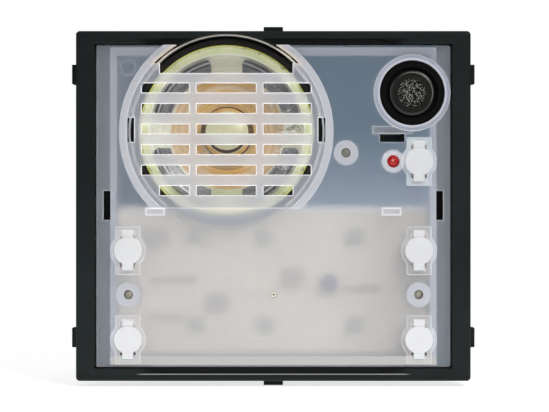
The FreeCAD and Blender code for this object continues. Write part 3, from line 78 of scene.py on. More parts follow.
class Wire:
    # an output socket of a material or a geometry tree, so that its sums read as plain Python
    def __init__(self, tree, socket):
        self.tree = tree
        self.socket = socket

    def node(self, kind, settings=None, sockets=None, out=0):
        made = self.tree.nodes.new(kind if kind.startswith("Geometry") else "ShaderNode" + kind)
        for name, value in (settings or {}).items():
            setattr(made, name, value)
        for name, value in (sockets or {}).items():
            if isinstance(value, Wire):
                self.tree.links.new(value.socket, made.inputs[name])
            else:
                made.inputs[name].default_value = value
        return Wire(self.tree, made.outputs[out])

    def math(self, operation, first, second=0.0, clamp=False):
        return self.node("Math", {"operation": operation, "use_clamp": clamp}, {0: first, 1: second})

    def __add__(self, other):
        return self.math("ADD", self, other)

    __radd__ = __add__

    def __sub__(self, other):
        return self.math("SUBTRACT", self, other)

    def __rsub__(self, other):
        return self.math("SUBTRACT", other, self)

    def __mul__(self, other):
        return self.math("MULTIPLY", self, other)

    __rmul__ = __mul__

    def __truediv__(self, other):
        return self.math("DIVIDE", self, other)

    def __gt__(self, other):
        return self.math("GREATER_THAN", self, other)

    def __lt__(self, other):
        return self.math("LESS_THAN", self, other)

    def __abs__(self):
        return self.math("ABSOLUTE", self)

    def root(self):
        return self.math("SQRT", self)

    def sine(self):
        return self.math("SINE", self)

    def cosine(self):
        return self.math("COSINE", self)

    def floor(self):
        return self.math("FLOOR", self)

    def clamped(self):
        # held between 0 and 1
        return self.math("ADD", self, 0.0, clamp=True)

    def least(self, other):
        return self.math("MINIMUM", self, other)

    def most(self, other):
        return self.math("MAXIMUM", self, other)

    def toward(self, other, share):
        return self + (other - self) * share

    def fade(self, low, high, start=0.0, end=1.0):
        # smooth step from one value to another
        return self.node("MapRange", {"interpolation_type": "SMOOTHSTEP"},
                         {"Value": self, "From Min": low, "From Max": high, "To Min": start, "To Max": end})

    def within(self, low, high, soft=1e-4):
        # 1 between two values, with soft ends
        return self.fade(low - soft, low + soft) * self.fade(high - soft, high + soft, 1.0, 0.0)

    def blend(self, first, second):
        # a colour between two colours, by this factor
        return self.node("Mix", {"data_type": "RGBA"}, {0: self, 6: first, 7: second}, out=2)

    def axis(self, letter):
        return self.node("SeparateXYZ", None, {0: self}, out="XYZ".index(letter))

    def noise(self, scale, detail=2.0, roughness=0.5, distortion=0.0):
        return self.node("TexNoise", None, {"Vector": self, "Scale": scale, "Detail": detail,
                                            "Roughness": roughness, "Distortion": distortion})

    def stretched(self, x, y, z):
        return self.node("Mapping", None, {"Vector": self, "Scale": (x, y, z)})

    def bump(self, strength, distance):
        return self.node("Bump", None, {"Strength": strength, "Distance": distance, "Height": self})


def rgb(red, green, blue):
    # a colour as seen on a screen, in Blender's own linear values
    def linear(part):
        part /= 255
        return part / 12.92 if part <= 0.04045 else ((part + 0.055) / 1.055) ** 2.4
    return (linear(red), linear(green), linear(blue), 1.0)


finishes = {}


def makeFinish(name, **sockets):
    # a new material with one Principled shader; returns the shader and its place in object space
    made = bpy.data.materials.new(name)
    made.use_nodes = True
    tree = made.node_tree
    shader = next(node for node in tree.nodes if node.type == "BSDF_PRINCIPLED")
    place = Wire(tree, tree.nodes.new("ShaderNodeTexCoord").outputs["Object"])
    feed(shader, place, sockets)
    finishes[name] = made
    return shader, place


def feed(shader, place, sockets):
    for name, value in sockets.items():
        if isinstance(value, Wire):
            place.tree.links.new(value.socket, shader.inputs[name])
        else:
            shader.inputs[name].default_value = value


def union(masks):
    # 1 wherever one of the masks is
    whole = masks[0]
    for mask in masks[1:]:
        whole = whole.most(mask)
    return whole


def bands(radius, rows):
    # rings of (inner, outer, softness, weight)
    return union([radius.within(inner, outer, soft) * weight for inner, outer, soft, weight in rows])


def distanceTo(place, x, z):
    # distance from a line along the depth, in metres
    across = place.axis("X") - x
    up = place.axis("Z") - z
    return (across * across + up * up).root()


def boxMask(place, box, soft=2.5e-4):
    # 1 inside a box of (x0, x1, z0, z1)
    x0, x1, z0, z1 = box
    return place.axis("X").within(x0, x1, soft) * place.axis("Z").within(z0, z1, soft)


def inset(box, by):
    x0, x1, z0, z1 = box
    return (x0 + by, x1 - by, z0 + by, z1 - by)


def axisOf(node):
    # x and z of a round node's axis
    low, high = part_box(node)
    return (low.x + high.x) / 2, (low.z + high.z) / 2


print("making the finishes")
grainLook = {"drift": 55.0, "detail": 2.0, "sharpness": 0.6, "fineSheen": 0.16, "driftSheen": 0.06}


def sparkTexture(place, grain):
    # fine spark marks, and a slow drift of tone
    return (place.noise(grain, grainLook["detail"], grainLook["sharpness"]),
            place.noise(grainLook["drift"], 3.0).fade(0.3, 0.7))


def unevenSheen(fine, drift, middle):
    fineSheen, driftSheen = grainLook["fineSheen"], grainLook["driftSheen"]
    return (fine * fineSheen + drift * driftSheen + (middle - (fineSheen + driftSheen) / 2)).clamped()


def moulded(name, colour, other, roughness, grain=2600.0, bump=0.25, depth=4e-5, **more):
    # injection-moulded plastic
    shader, place = makeFinish(name, **more)
    fine, drift = sparkTexture(place, grain)
    feed(shader, place, {
        "Base Color": drift.blend(colour, other),
        "Roughness": unevenSheen(fine, drift, roughness),
        "Normal": fine.bump(bump, depth),
    })


metalLook = {"marks": 900.0, "mottle": 220.0, "marksSheen": 0.25, "mottleSheen": 0.08, "rise": (0.12, 2e-5)}


def metal(name, colour, other, roughness, stretch=(1.0, 1.0, 1.0)):
    # sheet or turned metal: drawn or turned marks and a mottled plating
    shader, place = makeFinish(name, Metallic=1.0)
    marks = place.stretched(*stretch).noise(metalLook["marks"], 3.0, 0.6)
    mottle = place.noise(metalLook["mottle"], 3.0).fade(0.35, 0.68)
    sheen = marks * metalLook["marksSheen"] + mottle * metalLook["mottleSheen"]
    feed(shader, place, {
        "Base Color": mottle.blend(colour, other),
        "Roughness": (sheen + (roughness - 0.15)).clamped(),
        "Normal": marks.bump(*metalLook["rise"]),
    })


# plain plastics and metals: (tone, other tone, roughness, what else differs); the chips' slot is called
# black, but behind the frost they show pale
plastics = {
    "socketBlack": (rgb(26, 27, 29), rgb(34, 35, 37), 0.4, {}),
    "switchBlack": (rgb(24, 25, 27), rgb(30, 31, 33), 0.4, {}),
    "socketWhite": (rgb(226, 224, 216), rgb(216, 213, 203), 0.45, {}),
    "terminalGreen": (rgb(58, 128, 84), rgb(48, 112, 72), 0.42, {}),
    "trimmerBlue": (rgb(44, 92, 168), rgb(36, 80, 152), 0.35, {}),
    "rotorWhite": (rgb(232, 230, 222), rgb(222, 219, 208), 0.35, {}),
    "plungerTan": (rgb(170, 132, 84), rgb(150, 112, 70), 0.4, {}),
    "fibreBrown": (rgb(152, 112, 74), rgb(120, 84, 52), 0.7, {"grain": 1200.0, "bump": 0.5}),
    "wireRed": (rgb(186, 32, 30), rgb(160, 24, 24), 0.35, {}),
    "wireBlack": (rgb(28, 28, 30), rgb(20, 20, 22), 0.35, {}),
    "chipBlack": (rgb(172, 172, 170), rgb(160, 161, 160), 0.5, {"grain": 2200.0, "bump": 0.4}),
    "magnetDark": (rgb(58, 58, 60), rgb(46, 46, 49), 0.6, {"grain": 1400.0, "bump": 0.5}),
    "formerAmber": (rgb(150, 96, 44), rgb(124, 74, 30), 0.3, {}),
    "ceramicTan": (rgb(150, 134, 112), rgb(128, 112, 90), 0.5, {}),
    "keyWhite": (rgb(238, 239, 241), rgb(232, 233, 236), 0.4,
                 {"grain": 2400.0, "bump": 0.1, "Subsurface Weight": 0.15, "Subsurface Scale": 0.002}),
}
metals = {
    "screwSteel": (rgb(208, 204, 188), rgb(188, 182, 168), 0.34, {}),
    "tinnedMetal": (rgb(210, 208, 200), rgb(186, 184, 178), 0.3, {}),
    "coilCopper": (rgb(196, 118, 62), rgb(168, 92, 44), 0.3, {"stretch": (1.0, 40.0, 1.0)}),
    "yokeZinc": (rgb(188, 190, 186), rgb(166, 168, 166), 0.36, {}),
}
for make, looks in ((moulded, plastics), (metal, metals)):
    for name, (colour, other, roughness, more) in looks.items():
        make(name, colour, other, roughness, **more)


# places are in metres from the middle of the module's back; boxes are (x0, x1, z0, z1), and the
# pairs called radius, rise, run, ends or from are where a mask starts and where it is full or gone
frameLook = {
    "colour": (rgb(26, 32, 32), rgb(32, 38, 38)),
    "groove": rgb(12, 15, 15),
    "low": rgb(10, 15, 14),
    "dark": rgb(5, 5, 6),
    "lip": rgb(176, 178, 176),
    "gloss": 0.14,
    "roughness": 0.5,
    "grain": 3000.0,
    "inside": (-0.0455, 0.0455, -0.0412, 0.0412),
    "insideFrom": (-0.0248, -0.0242),
    "gap": (-0.0459, 0.0459, -0.0418, 0.0416),
    "grooveEnds": (0.0318, 0.0358),
    "grooveRise": (0.04165, 0.04305),
    "lipEnds": (0.0335, 0.0355),
    "lipRise": (-0.04326, -0.04309),
    "lowRise": (-0.0464, -0.0425),
}


def frameFinish():
    # painted shade in the long scallops, the gap round the cover, the inside and the lower part
    shader, place = makeFinish("frameBlack", **{"Specular IOR Level": frameLook["gloss"]})
    fine, drift = sparkTexture(place, frameLook["grain"])
    across, up = abs(place.axis("X")), place.axis("Z")
    groove = abs(up).within(*frameLook["grooveRise"]) * across.fade(*frameLook["grooveEnds"], 1.0, 0.0)
    lip = up.within(*frameLook["lipRise"], 4e-5) * across.fade(*frameLook["lipEnds"], 1.0, 0.0)
    inside = boxMask(place, frameLook["inside"]) * place.axis("Y").fade(*frameLook["insideFrom"])
    colour = drift.blend(*frameLook["colour"])
    colour = up.fade(*frameLook["lowRise"], 0.7, 0.0).blend(colour, frameLook["low"])
    colour = groove.blend(colour, frameLook["groove"])
    colour = inside.most(boxMask(place, frameLook["gap"], 6e-5)).blend(colour, frameLook["dark"])
    # painted highlight: the lower scallop's lip is pale
    feed(shader, place, {"Base Color": lip.blend(colour, frameLook["lip"]),
                         "Roughness": unevenSheen(fine, drift, frameLook["roughness"]),
                         "Normal": fine.bump(0.25, 4e-5)})


frameFinish()

caseLook = {
    "colour": (rgb(38, 41, 44), rgb(45, 48, 51)),
    "dark": rgb(5, 5, 6),
    "roughness": 0.55,
    "grain": 1900.0,
    "inside": (-0.0408, 0.0408, -0.0378, 0.0378),
    "floor": (-0.0028, -0.0021),
}


def caseFinish():
    # a coarser, eroded grain; the inside lies in shade
    shader, place = makeFinish("caseBlack")
    fine, drift = sparkTexture(place, caseLook["grain"])
    inside = boxMask(place, caseLook["inside"]) * place.axis("Y").fade(*caseLook["floor"], 1.0, 0.0)
    feed(shader, place, {"Base Color": inside.blend(drift.blend(*caseLook["colour"]), caseLook["dark"]),
                         "Roughness": unevenSheen(fine, drift, caseLook["roughness"]),
                         "Normal": fine.bump(0.4, 6e-5)})


caseFinish()

# the cover's haze is (colour, share of clear plastic) by region; rounds are (x, z, inner, outer), steps
# (inner, outer, softness, weight) and the gate's rings (inner, outer, colour)
cover = {
    "panel": (rgb(196, 212, 236), 0.72),
    "dusk": (rgb(160, 178, 200), 0.8),
    "high": (rgb(140, 172, 202), 0.8),
    "flange": (rgb(180, 193, 206), 0.78),
    "lower": (rgb(201, 202, 206), 0.55),
    "lowerDim": rgb(160, 163, 169),
    "crescent": (rgb(189, 193, 203), 0.45),
    "glow": (rgb(236, 234, 222), 0.4),
    "field": (rgb(222, 226, 233), 0.62),
    "side": (rgb(176, 184, 200), 0.72),
    "ring": (rgb(216, 217, 226), 0.3),
    "thick": (rgb(225, 227, 236), 0.27),
    "hook": (rgb(146, 148, 152), 0.35),
    "mic": (rgb(182, 188, 206), 0.4),
    "arch": (rgb(238, 228, 210), 0.1),
    "foot": (rgb(212, 211, 210), 0.2),
    "line": (rgb(250, 250, 252), 0.05),
    "step": (rgb(226, 228, 240), 0.15),
    "rim": (rgb(206, 212, 220), 0.3),
    "crease": rgb(104, 106, 108),
    "body": (rgb(253, 248, 240), rgb(247, 242, 234)),
    "drift": 35.0,
    "grain": 2400.0,
    "sheen": 0.55,
    "blur": 0.65,
    "passes": 0.95,
    "speaker": (-0.0121, 0.0191),
    "platformFoot": -0.0005,
    "fieldRadius": 0.0257,
    "crescentRadius": 0.0242,
    "glowRadius": (0.0202, 0.0221),
    "sideRadius": 0.0226,
    "archRadius": (0.0249, 0.0262),
    "archRise": (0.0356, 0.0371),
    "ringRadius": 0.0275,
    "duskRun": (-0.043, 0.012),
    "highRise": (-0.002, 0.022),
    "highRun": (-0.012, 0.006),
    "flangeRun": (0.0419, 0.0423),
    "lowerBox": (-0.0404, 0.0404, -0.0409, 1.0),
    "lowerTop": (-0.0023, 0.0009),
    "dimRun": (0.01, 0.039),
    "microphone": (0.0357, 0.0291),
    "micRadius": 0.0098,
    "micSteps": [(0.00835, 0.009, 1e-4, 1.0), (0.0093, 0.0096, 8e-5, 0.4)],
    "rounds": [
        (0.0187, 0.0137, 0.0012, 0.0032),
        (-0.0373, -0.0228, 0.0012, 0.0032),
        (0.0374, -0.0228, 0.0012, 0.0032),
        (0.0309, 0.0115, 0.0, 0.0029),
        (0.0357, 0.0291, 0.0084, 0.0098),
    ],
    "ribs": {
        "left": (-0.0419, -0.0403, -0.0408, 0.0408),
        "right": (0.0403, 0.0419, -0.0408, 0.0408),
        "lower": (-0.0419, 0.0419, -0.0408, -0.03865),
        "upper": (-0.0419, 0.0419, 0.03865, 0.0408),
    },
    "ribShare": 0.7,
    "bar": (0.0255, 0.0357, 0.01859, 0.02059),
    "barLine": 3e-4,
    "barFrom": (0.0097, 0.0099),
    "stops": [(-0.03295, -0.02785, -0.00247, -0.00037), (0.02785, 0.03295, -0.00247, -0.00037)],
    "stopWall": 5.5e-4,
    "stopHollow": 0.7,
    "stopLine": 4e-4,
    "rimWidth": 2.6e-4,
    "gate": (0.00013, -0.0228),
    "gateRings": [(0.0, 0.00085, rgb(232, 228, 208)), (0.00075, 0.00105, rgb(150, 148, 140)),
                  (-0.001, 0.00032, rgb(70, 60, 48))],
    "gateShare": 0.1,
    "pockets": [(0.0349, 0.0401, -0.0405, -0.0378), (-0.04005, -0.03485, -0.0405, -0.0378)],
    "pocketFrom": (-0.0243, -0.0239),
    "pocketGlow": (0.42, 0.41, 0.39, 1.0),
}


def coverFeatures(place):
    # masks of the cover's moulded features, from the first laid down to the last
    up = place.axis("Z")
    away, mic = distanceTo(place, *cover["speaker"]), distanceTo(place, *cover["microphone"])
    above = up.fade(cover["platformFoot"] - 1e-4, cover["platformFoot"] + 1e-4)
    field, crescent = cover["fieldRadius"], cover["crescentRadius"]
    thick = [distanceTo(place, x, z).within(inner, outer, 2e-4) for x, z, inner, outer in cover["rounds"]]
    lines = []
    for box in cover["stops"]:
        room = boxMask(place, inset(box, cover["stopWall"]))
        thick.append(boxMask(place, box) * (1 - room * cover["stopHollow"]))
        lines.append(boxMask(place, box, 1e-4) * (1 - boxMask(place, inset(box, cover["stopLine"]), 1e-4)))
    thick += [boxMask(place, box) * cover["ribShare"] for box in cover["ribs"].values()]
    bar = boxMask(place, cover["bar"], 1e-4)
    barInside = boxMask(place, inset(cover["bar"], cover["barLine"]), 1e-4)
    barEdge = bar * (1 - barInside) * mic.fade(*cover["barFrom"])
    return [
        (away.fade(crescent - 4e-4, crescent + 4e-4, 1.0, 0.0) * (1 - above), "crescent"),
        # painted light: a cream glow over the speaker below the platform
        (away.fade(*cover["glowRadius"], 1.0, 0.0) * (1 - above), "glow"),
        (away.fade(field - 1e-4, field + 1e-4, 1.0, 0.0) * above, "field"),
        (away.within(cover["sideRadius"], field, 3e-4) * above * 0.8, "side"),
        (away.within(field, cover["ringRadius"]) * above, "ring"),
        (union(thick), "thick"),
        (bar * 0.8, "hook"),
        (mic.within(0.0, cover["micRadius"]), "mic"),
        (away.within(*cover["archRadius"], 1e-4) * up.fade(*cover["archRise"]), "arch"),
        (boxMask(place, cover["ribs"]["lower"]), "foot"),
        # painted highlight: pale outlines round the stops and along the bar away from the microphone
        (union(lines) * 0.8, "line"),
        (barEdge * 0.3, "line"),
    ]


def coverHaze(place):
    # the haze's colour and the share of clear plastic over the whole front
    across, up = place.axis("X"), place.axis("Z")
    lower = up.fade(*cover["lowerTop"], 1.0, 0.0) * boxMask(place, cover["lowerBox"], 5e-4)
    layers = [
        # painted shade: the panel darker towards the left
        (across.fade(*cover["duskRun"], 0.75, 0.0), *cover["dusk"]),
        (up.fade(*cover["highRise"], 0.0, 0.9) * across.fade(*cover["highRun"]), *cover["high"]),
        (abs(across).fade(*cover["flangeRun"]), *cover["flange"]),
        # painted shade: the lower panel darker towards the right
        (lower, across.fade(*cover["dimRun"], 0.0, 0.65).blend(cover["lower"][0], cover["lowerDim"]),
         cover["lower"][1]),
    ]
    layers += [(mask, *cover[region]) for mask, region in coverFeatures(place)]
    colour, share = cover["panel"]
    for mask, tone, clear in layers:
        colour = mask.blend(colour, tone)
        share = mask * (clear - share) + share
    # pale steps round the microphone
    step = bands(distanceTo(place, *cover["microphone"]), cover["micSteps"])
    colour = (step * 0.75).blend(colour, cover["step"][0])
    share = share.toward(cover["step"][1], step)
    # painted highlight: the plate's outer edge is pale, with a dark line over the lower one
    low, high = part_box("front_cover")
    width = cover["rimWidth"]
    inner = boxMask(place, inset((low.x, high.x, low.z, high.z), width), 6e-5)
    rim = (1 - inner) * 0.7
    colour = rim.blend(colour, cover["rim"][0])
    share = share.toward(cover["rim"][1], rim)
    crease = up.within(low.z + width, low.z + width * 2, 6e-5) * inner * 0.5
    colour = crease.blend(colour, cover["crease"])
    # the gate: a pale dimple round a dark nub
    gate = distanceTo(place, *cover["gate"])
    for near, far, tone in cover["gateRings"]:
        mask = gate.within(near, far, 6e-5)
        colour = mask.blend(colour, tone)
        share = share.toward(cover["gateShare"], mask)
    return colour, share


coverEdges = {
    "colour": rgb(250, 250, 252),
    "nearRadius": (0.02465, 0.02505),
    "nearFoot": (-0.0003, 0.0003),
    "nearGlow": 0.6,
    "farShare": 0.55,
    "farClear": 0.5,
    "farGlow": 0.1,
}


def coverFinish(name, edges=None):
    # frosted plastic: a haze over a clear, faintly warm body, both letting lamps through; edges are whiter,
    # with a painted glow
    shader, place = makeFinish(name, IOR=1.35, **{"Emission Strength": 1.0})
    drift = place.noise(cover["drift"], 3.0).fade(0.3, 0.7)
    fine = place.noise(cover["grain"], 2.0, 0.6)
    grain = fine.bump(0.12, 2e-5)
    colour, share = coverHaze(place)
    if edges:
        # painted highlight: the edges glow, strongest round the grille's openings, where lamps in front catch
        # them
        near = distanceTo(place, *cover["speaker"]).fade(*edges["nearRadius"], 1.0, 0.0)
        near = near * place.axis("Z").fade(*edges["nearFoot"])
        colour = (near * (1 - edges["farShare"]) + edges["farShare"]).blend(colour, edges["colour"])
        share = share * (1 - near) * edges["farClear"]
        weak, strong = (tuple(part * edges[glow] for part in edges["colour"][:3]) + (1.0,)
                        for glow in ("farGlow", "nearGlow"))
        glow = near.blend(weak, strong)
    else:
        # painted light: a glow beside the lowest keys, for light that the plastic carries down
        pocket = union([boxMask(place, box, 1e-4) for box in cover["pockets"]])
        pocket = pocket * place.axis("Y").fade(*cover["pocketFrom"])
        glow = pocket.blend((0.0, 0.0, 0.0, 1.0), cover["pocketGlow"])
    feed(shader, place, {"Base Color": colour, "Normal": grain, "Emission Color": glow,
                         "Roughness": (drift * 0.06 + (cover["sheen"] - 0.03)).clamped()})
    clear = place.node("BsdfPrincipled", None, {
        "Base Color": drift.blend(*cover["body"]), "Normal": grain, "IOR": 1.4, "Transmission Weight": 1.0,
        "Roughness": (fine * 0.1 + (cover["blur"] - 0.05)).clamped()})
    surface = place.node("MixShader", None, {0: share, 1: Wire(place.tree, shader.outputs[0]), 2: clear})
    lampRay = place.node("LightPath", out=1)
    passed = place.node("BsdfTransparent", None, {"Color": (cover["passes"],) * 3 + (1.0,)})
    mixed = place.node("MixShader", None, {0: lampRay, 1: surface, 2: passed})
    output = next(node for node in place.tree.nodes if node.type == "OUTPUT_MATERIAL")
    place.tree.links.new(mixed.socket, output.inputs["Surface"])


coverFinish("coverFrost")
coverFinish("coverEdge", coverEdges)

sheetLook = {"colour": (rgb(244, 242, 237), rgb(238, 235, 229)), "drift": 40.0, "grain": 1800.0}


def sheetFinish():
    # matt white film, faintly warm
    shader, place = makeFinish("sheetWhite")
    drift = place.noise(sheetLook["drift"], 3.0).fade(0.3, 0.7)
    fine = place.noise(sheetLook["grain"], 3.0, 0.6)
    feed(shader, place, {"Base Color": drift.blend(*sheetLook["colour"]),
                         "Roughness": (fine * 0.2 + 0.5).clamped(), "Normal": fine.bump(0.2, 2e-5)})


sheetFinish()

boardLook = {
    "mask": (rgb(8, 12, 13), rgb(13, 18, 19)),
    "track": rgb(26, 36, 37),
    "print": rgb(186, 188, 192),
    "trackScale": 420.0,
    "trackEdge": (0.02, 0.08),
    "drift": 60.0,
    "keys": [(0.0375, 0.01145), (0.0375, -0.0115), (0.0375, -0.0344),
             (-0.03745, -0.0115), (-0.03745, -0.0344)],
    "printHalf": (0.0031, 0.0052),
    "printBefore": -0.0205,
}


def boardFinish():
    # near-black solder mask over tracks, with a pale print under each key
    shader, place = makeFinish("boardDark", **{"Specular IOR Level": 0.15})
    cell = place.node("TexVoronoi", {"feature": "DISTANCE_TO_EDGE", "distance": "CHEBYCHEV"},
                      {"Vector": place.stretched(1.0, 0.2, 1.0), "Scale": boardLook["trackScale"],
                       "Randomness": 0.75})
    tracks = cell.fade(*boardLook["trackEdge"], 1.0, 0.0)
    drift = place.noise(boardLook["drift"], 2.0).fade(0.3, 0.7)
    base = tracks.blend(drift.blend(*boardLook["mask"]), boardLook["track"])
    wide, high = boardLook["printHalf"]
    prints = union([boxMask(place, (x - wide, x + wide, z - high, z + high), 2e-4)
                    for x, z in boardLook["keys"]])
    prints = prints * (place.axis("Y") < boardLook["printBefore"])
    feed(shader, place, {"Base Color": prints.blend(base, boardLook["print"]),
                         "Roughness": (drift * 0.1 + 0.36).clamped(), "Normal": tracks.bump(0.3, 4e-5)})


boardFinish()

bootLook = {
    "rubber": rgb(9, 9, 10),
    "disc": (rgb(36, 37, 34), rgb(28, 29, 27)),
    "edge": rgb(128, 129, 122),
    "shade": rgb(2, 2, 3),
    "grain": 1500.0,
    "drift": 220.0,
    "discRadius": (0.0054, 0.0056),
    "edgeRadius": (0.00515, 0.0054),
    "edgeSlant": (-0.001, 0.006),
    "grooveRadius": (0.0056, 0.0068),
    "outerRadius": (0.0077, 0.0079),
    "coatRadius": (0.0051, 0.00575),
}


def bootFinish():
    # soft black rubber: a grey raised disc and rim, with painted shade in the groove and the outer gap
    shader, place = makeFinish("bootRubber", **{"Specular IOR Level": 0.15, "Coat Roughness": 0.2})
    x, z = axisOf("mic_boot")
    radius = distanceTo(place, x, z)
    fine = place.noise(bootLook["grain"], 3.0, 0.6)
    drift = place.noise(bootLook["drift"], 2.0).fade(0.3, 0.7)
    shade = radius.within(*bootLook["grooveRadius"], 1.5e-4).most(radius.fade(*bootLook["outerRadius"]))
    disc = radius.fade(*bootLook["discRadius"], 1.0, 0.0)
    slant = place.axis("X") + place.axis("Z") - (x + z)
    # painted highlight: a pale arc on the disc's edge towards the upper right
    edge = radius.within(*bootLook["edgeRadius"], 1e-4) * slant.fade(*bootLook["edgeSlant"])
    colour = edge.blend(disc.blend(bootLook["rubber"], drift.blend(*bootLook["disc"])), bootLook["edge"])
    feed(shader, place, {"Base Color": shade.blend(colour, bootLook["shade"]),
                         "Coat Weight": radius.within(*bootLook["coatRadius"]),
                         "Roughness": (fine * 0.16 + 0.3).clamped(), "Normal": fine.bump(0.2, 4e-5)})


bootFinish()

basketLook = {
    "rim": (rgb(252, 254, 240), rgb(242, 246, 224)),
    "band": (rgb(236, 240, 200), rgb(222, 230, 176)),
    "deck": (rgb(236, 206, 166), rgb(224, 188, 142)),
    "upright": (rgb(232, 186, 104), rgb(216, 166, 84)),
    "turned": rgb(202, 150, 104),
    "rings": 3600.0,
    "bright": rgb(226, 226, 84),
    "ridge": rgb(166, 168, 110),
    "rimFoot": rgb(166, 174, 128),
    "deckFoot": rgb(172, 132, 74),
    "deckRadius": (0.0142, 0.0152),
    "bandRadius": (0.0203, 0.0207),
    "arcRadius": (0.0112, 0.0128),
    "brights": [(0.0222, 0.0226, 8e-5, 1.0), (0.02065, 0.0208, 6e-5, 0.5)],
    "ridges": [(0.0219, 0.02205, 5e-5, 1.0), (0.02035, 0.0205, 6e-5, 0.6), (0.01835, 0.01845, 6e-5, 0.3),
               (0.0164, 0.0166, 8e-5, 0.3)],
    "footRise": (0.0026, 0.0101),
    "footRadius": (0.0205, 0.0215),
    "uprightFrom": (0.002, 0.007),
    "cloud": 150.0,
    "grain": 2400.0,
}


def basketFinish():
    # yellow passivated steel, pale on the rim and coppery on the deck round the magnet
    shader, place = makeFinish("basketYellow", **{"Specular IOR Level": 0.4})
    radius = distanceTo(place, *axisOf("speaker_foam_ring"))
    cloud = place.noise(basketLook["cloud"], 2.0, 0.5).fade(0.3, 0.75)
    fine = place.noise(basketLook["grain"], 2.0)
    tone = {part: cloud.blend(*basketLook[part]) for part in ("rim", "band", "deck", "upright")}
    # painted shade: the lower part of the rim and deck darker
    foot = place.axis("Z").fade(*basketLook["footRise"], 0.75, 0.0)
    rim = radius.fade(*basketLook["bandRadius"]).blend(tone["rim"], tone["band"])
    rim = (bands(radius, basketLook["brights"]) * 0.85).blend(rim, basketLook["bright"])
    rim = (bands(radius, basketLook["ridges"]) * 0.7).blend(rim, basketLook["ridge"])
    rim = (foot * radius.fade(*basketLook["footRadius"], 1.0, 0.2)).blend(rim, basketLook["rimFoot"])
    x, z = cover["speaker"]
    upright = (abs(place.axis("Z") - z) - abs(place.axis("X") - x)).fade(*basketLook["uprightFrom"])
    arc = radius.within(*basketLook["arcRadius"], 5e-4)
    deck = (upright * (1 - arc)).blend(tone["deck"], tone["upright"])
    turned = (radius * basketLook["rings"]).sine().fade(-0.6, 1.0) * 0.4
    deck = turned.blend(deck, basketLook["turned"])
    deck = (foot * 0.8).blend(deck, basketLook["deckFoot"])
    feed(shader, place, {
        "Base Color": radius.fade(*basketLook["deckRadius"], 1.0, 0.0).blend(rim, deck),
        "Roughness": (fine * 0.2 + cloud * 0.1 + 0.22).clamped(),
        "Normal": fine.bump(0.15, 2e-5),
    })


basketFinish()

plateLook = {
    "gold": (rgb(240, 196, 108), rgb(214, 164, 76)),
    "turned": rgb(178, 130, 58),
    "rings": 5200.0,
    "foot": rgb(152, 114, 44),
    "footRise": (0.0081, 0.0161),
    "roughness": 0.36,
    "grain": 900.0,
}


def plateFinish():
    # gold passivated plate with turned rings, in shade at its foot
    shader, place = makeFinish("plateGold")
    radius = distanceTo(place, *axisOf("speaker_foam_ring"))
    fine, drift = sparkTexture(place, plateLook["grain"])
    turned = (radius * plateLook["rings"]).sine().fade(-0.5, 1.0) * 0.35
    gold = turned.blend(drift.blend(*plateLook["gold"]), plateLook["turned"])
    foot = place.axis("Z").fade(*plateLook["footRise"], 0.7, 0.0)
    feed(shader, place, {"Base Color": foot.blend(gold, plateLook["foot"]),
                         "Roughness": unevenSheen(fine, drift, plateLook["roughness"]),
                         "Normal": fine.bump(0.2, 6e-5)})


plateFinish()

domeLook = {
    "film": (rgb(214, 214, 184), rgb(200, 199, 164)),
    "flange": rgb(206, 166, 106),
    "glue": (rgb(112, 90, 58), rgb(80, 60, 36)),
    "crescent": rgb(66, 40, 26),
    "flangeRadius": (0.0055, 0.0057),
    "glueHalf": (0.0024, 0.0032),
    "crescentRadius": (0.0053, 0.0055),
    "crescentHollow": (0.0052, 0.0054),
    "crescentRise": (-0.0022, -0.001),
    "crescentShift": 0.0008,
    "drift": 180.0,
    "glueSpots": 900.0,
}


def domeFinish():
    # cream film dome on a flange, with dark glue and painted shade at its sides and a painted shadow at its
    # foot
    shader, place = makeFinish("domeCream", **{"Coat Weight": 0.5, "Coat Roughness": 0.2})
    radius = distanceTo(place, *axisOf("speaker_foam_ring"))
    drift = place.noise(domeLook["drift"], 3.0).fade(0.3, 0.7)
    spot = place.noise(domeLook["glueSpots"], 3.0).fade(0.35, 0.65)
    x, z = cover["speaker"]
    up = place.axis("Z") - z
    flange = radius.fade(*domeLook["flangeRadius"])
    # dark glue with painted shade at the flange's left and right sides
    sides = abs(up).fade(*domeLook["glueHalf"], 1.0, 0.0)
    flat = sides.blend(domeLook["flange"], spot.blend(*domeLook["glue"]))
    # painted shadow: a dark crescent along the dome's lower edge
    hollow = distanceTo(place, x, z + domeLook["crescentShift"]).fade(*domeLook["crescentHollow"])
    crescent = radius.fade(*domeLook["crescentRadius"], 1.0, 0.0) * hollow
    crescent = crescent * up.fade(*domeLook["crescentRise"], 1.0, 0.0)
    film = crescent.blend(drift.blend(*domeLook["film"]), domeLook["crescent"])
    feed(shader, place, {
        "Base Color": flange.blend(film, flat),
        "Roughness": (drift * 0.08 + 0.24).clamped(), "Normal": (drift + spot * flange).bump(0.2, 6e-5)})


domeFinish()

foamLook = {"colour": (rgb(7, 6, 6), rgb(22, 19, 17)), "cell": 2200.0}


def foamFinish():
    # open black foam with a coarse cell
    shader, place = makeFinish("foamBlack")
    cell = place.node("TexVoronoi", None, {"Vector": place, "Scale": foamLook["cell"]})
    feed(shader, place, {"Base Color": cell.blend(*foamLook["colour"]), "Roughness": 0.9,
                         "Normal": cell.bump(0.6, 1e-4)})


foamFinish()

# the cone's windows: their outer and inner radius, half the width of a spoke, and the corners' fillet
windows = {"outer": 0.0194, "inner": 0.0152, "half": 0.00405, "fillet": 0.0017}
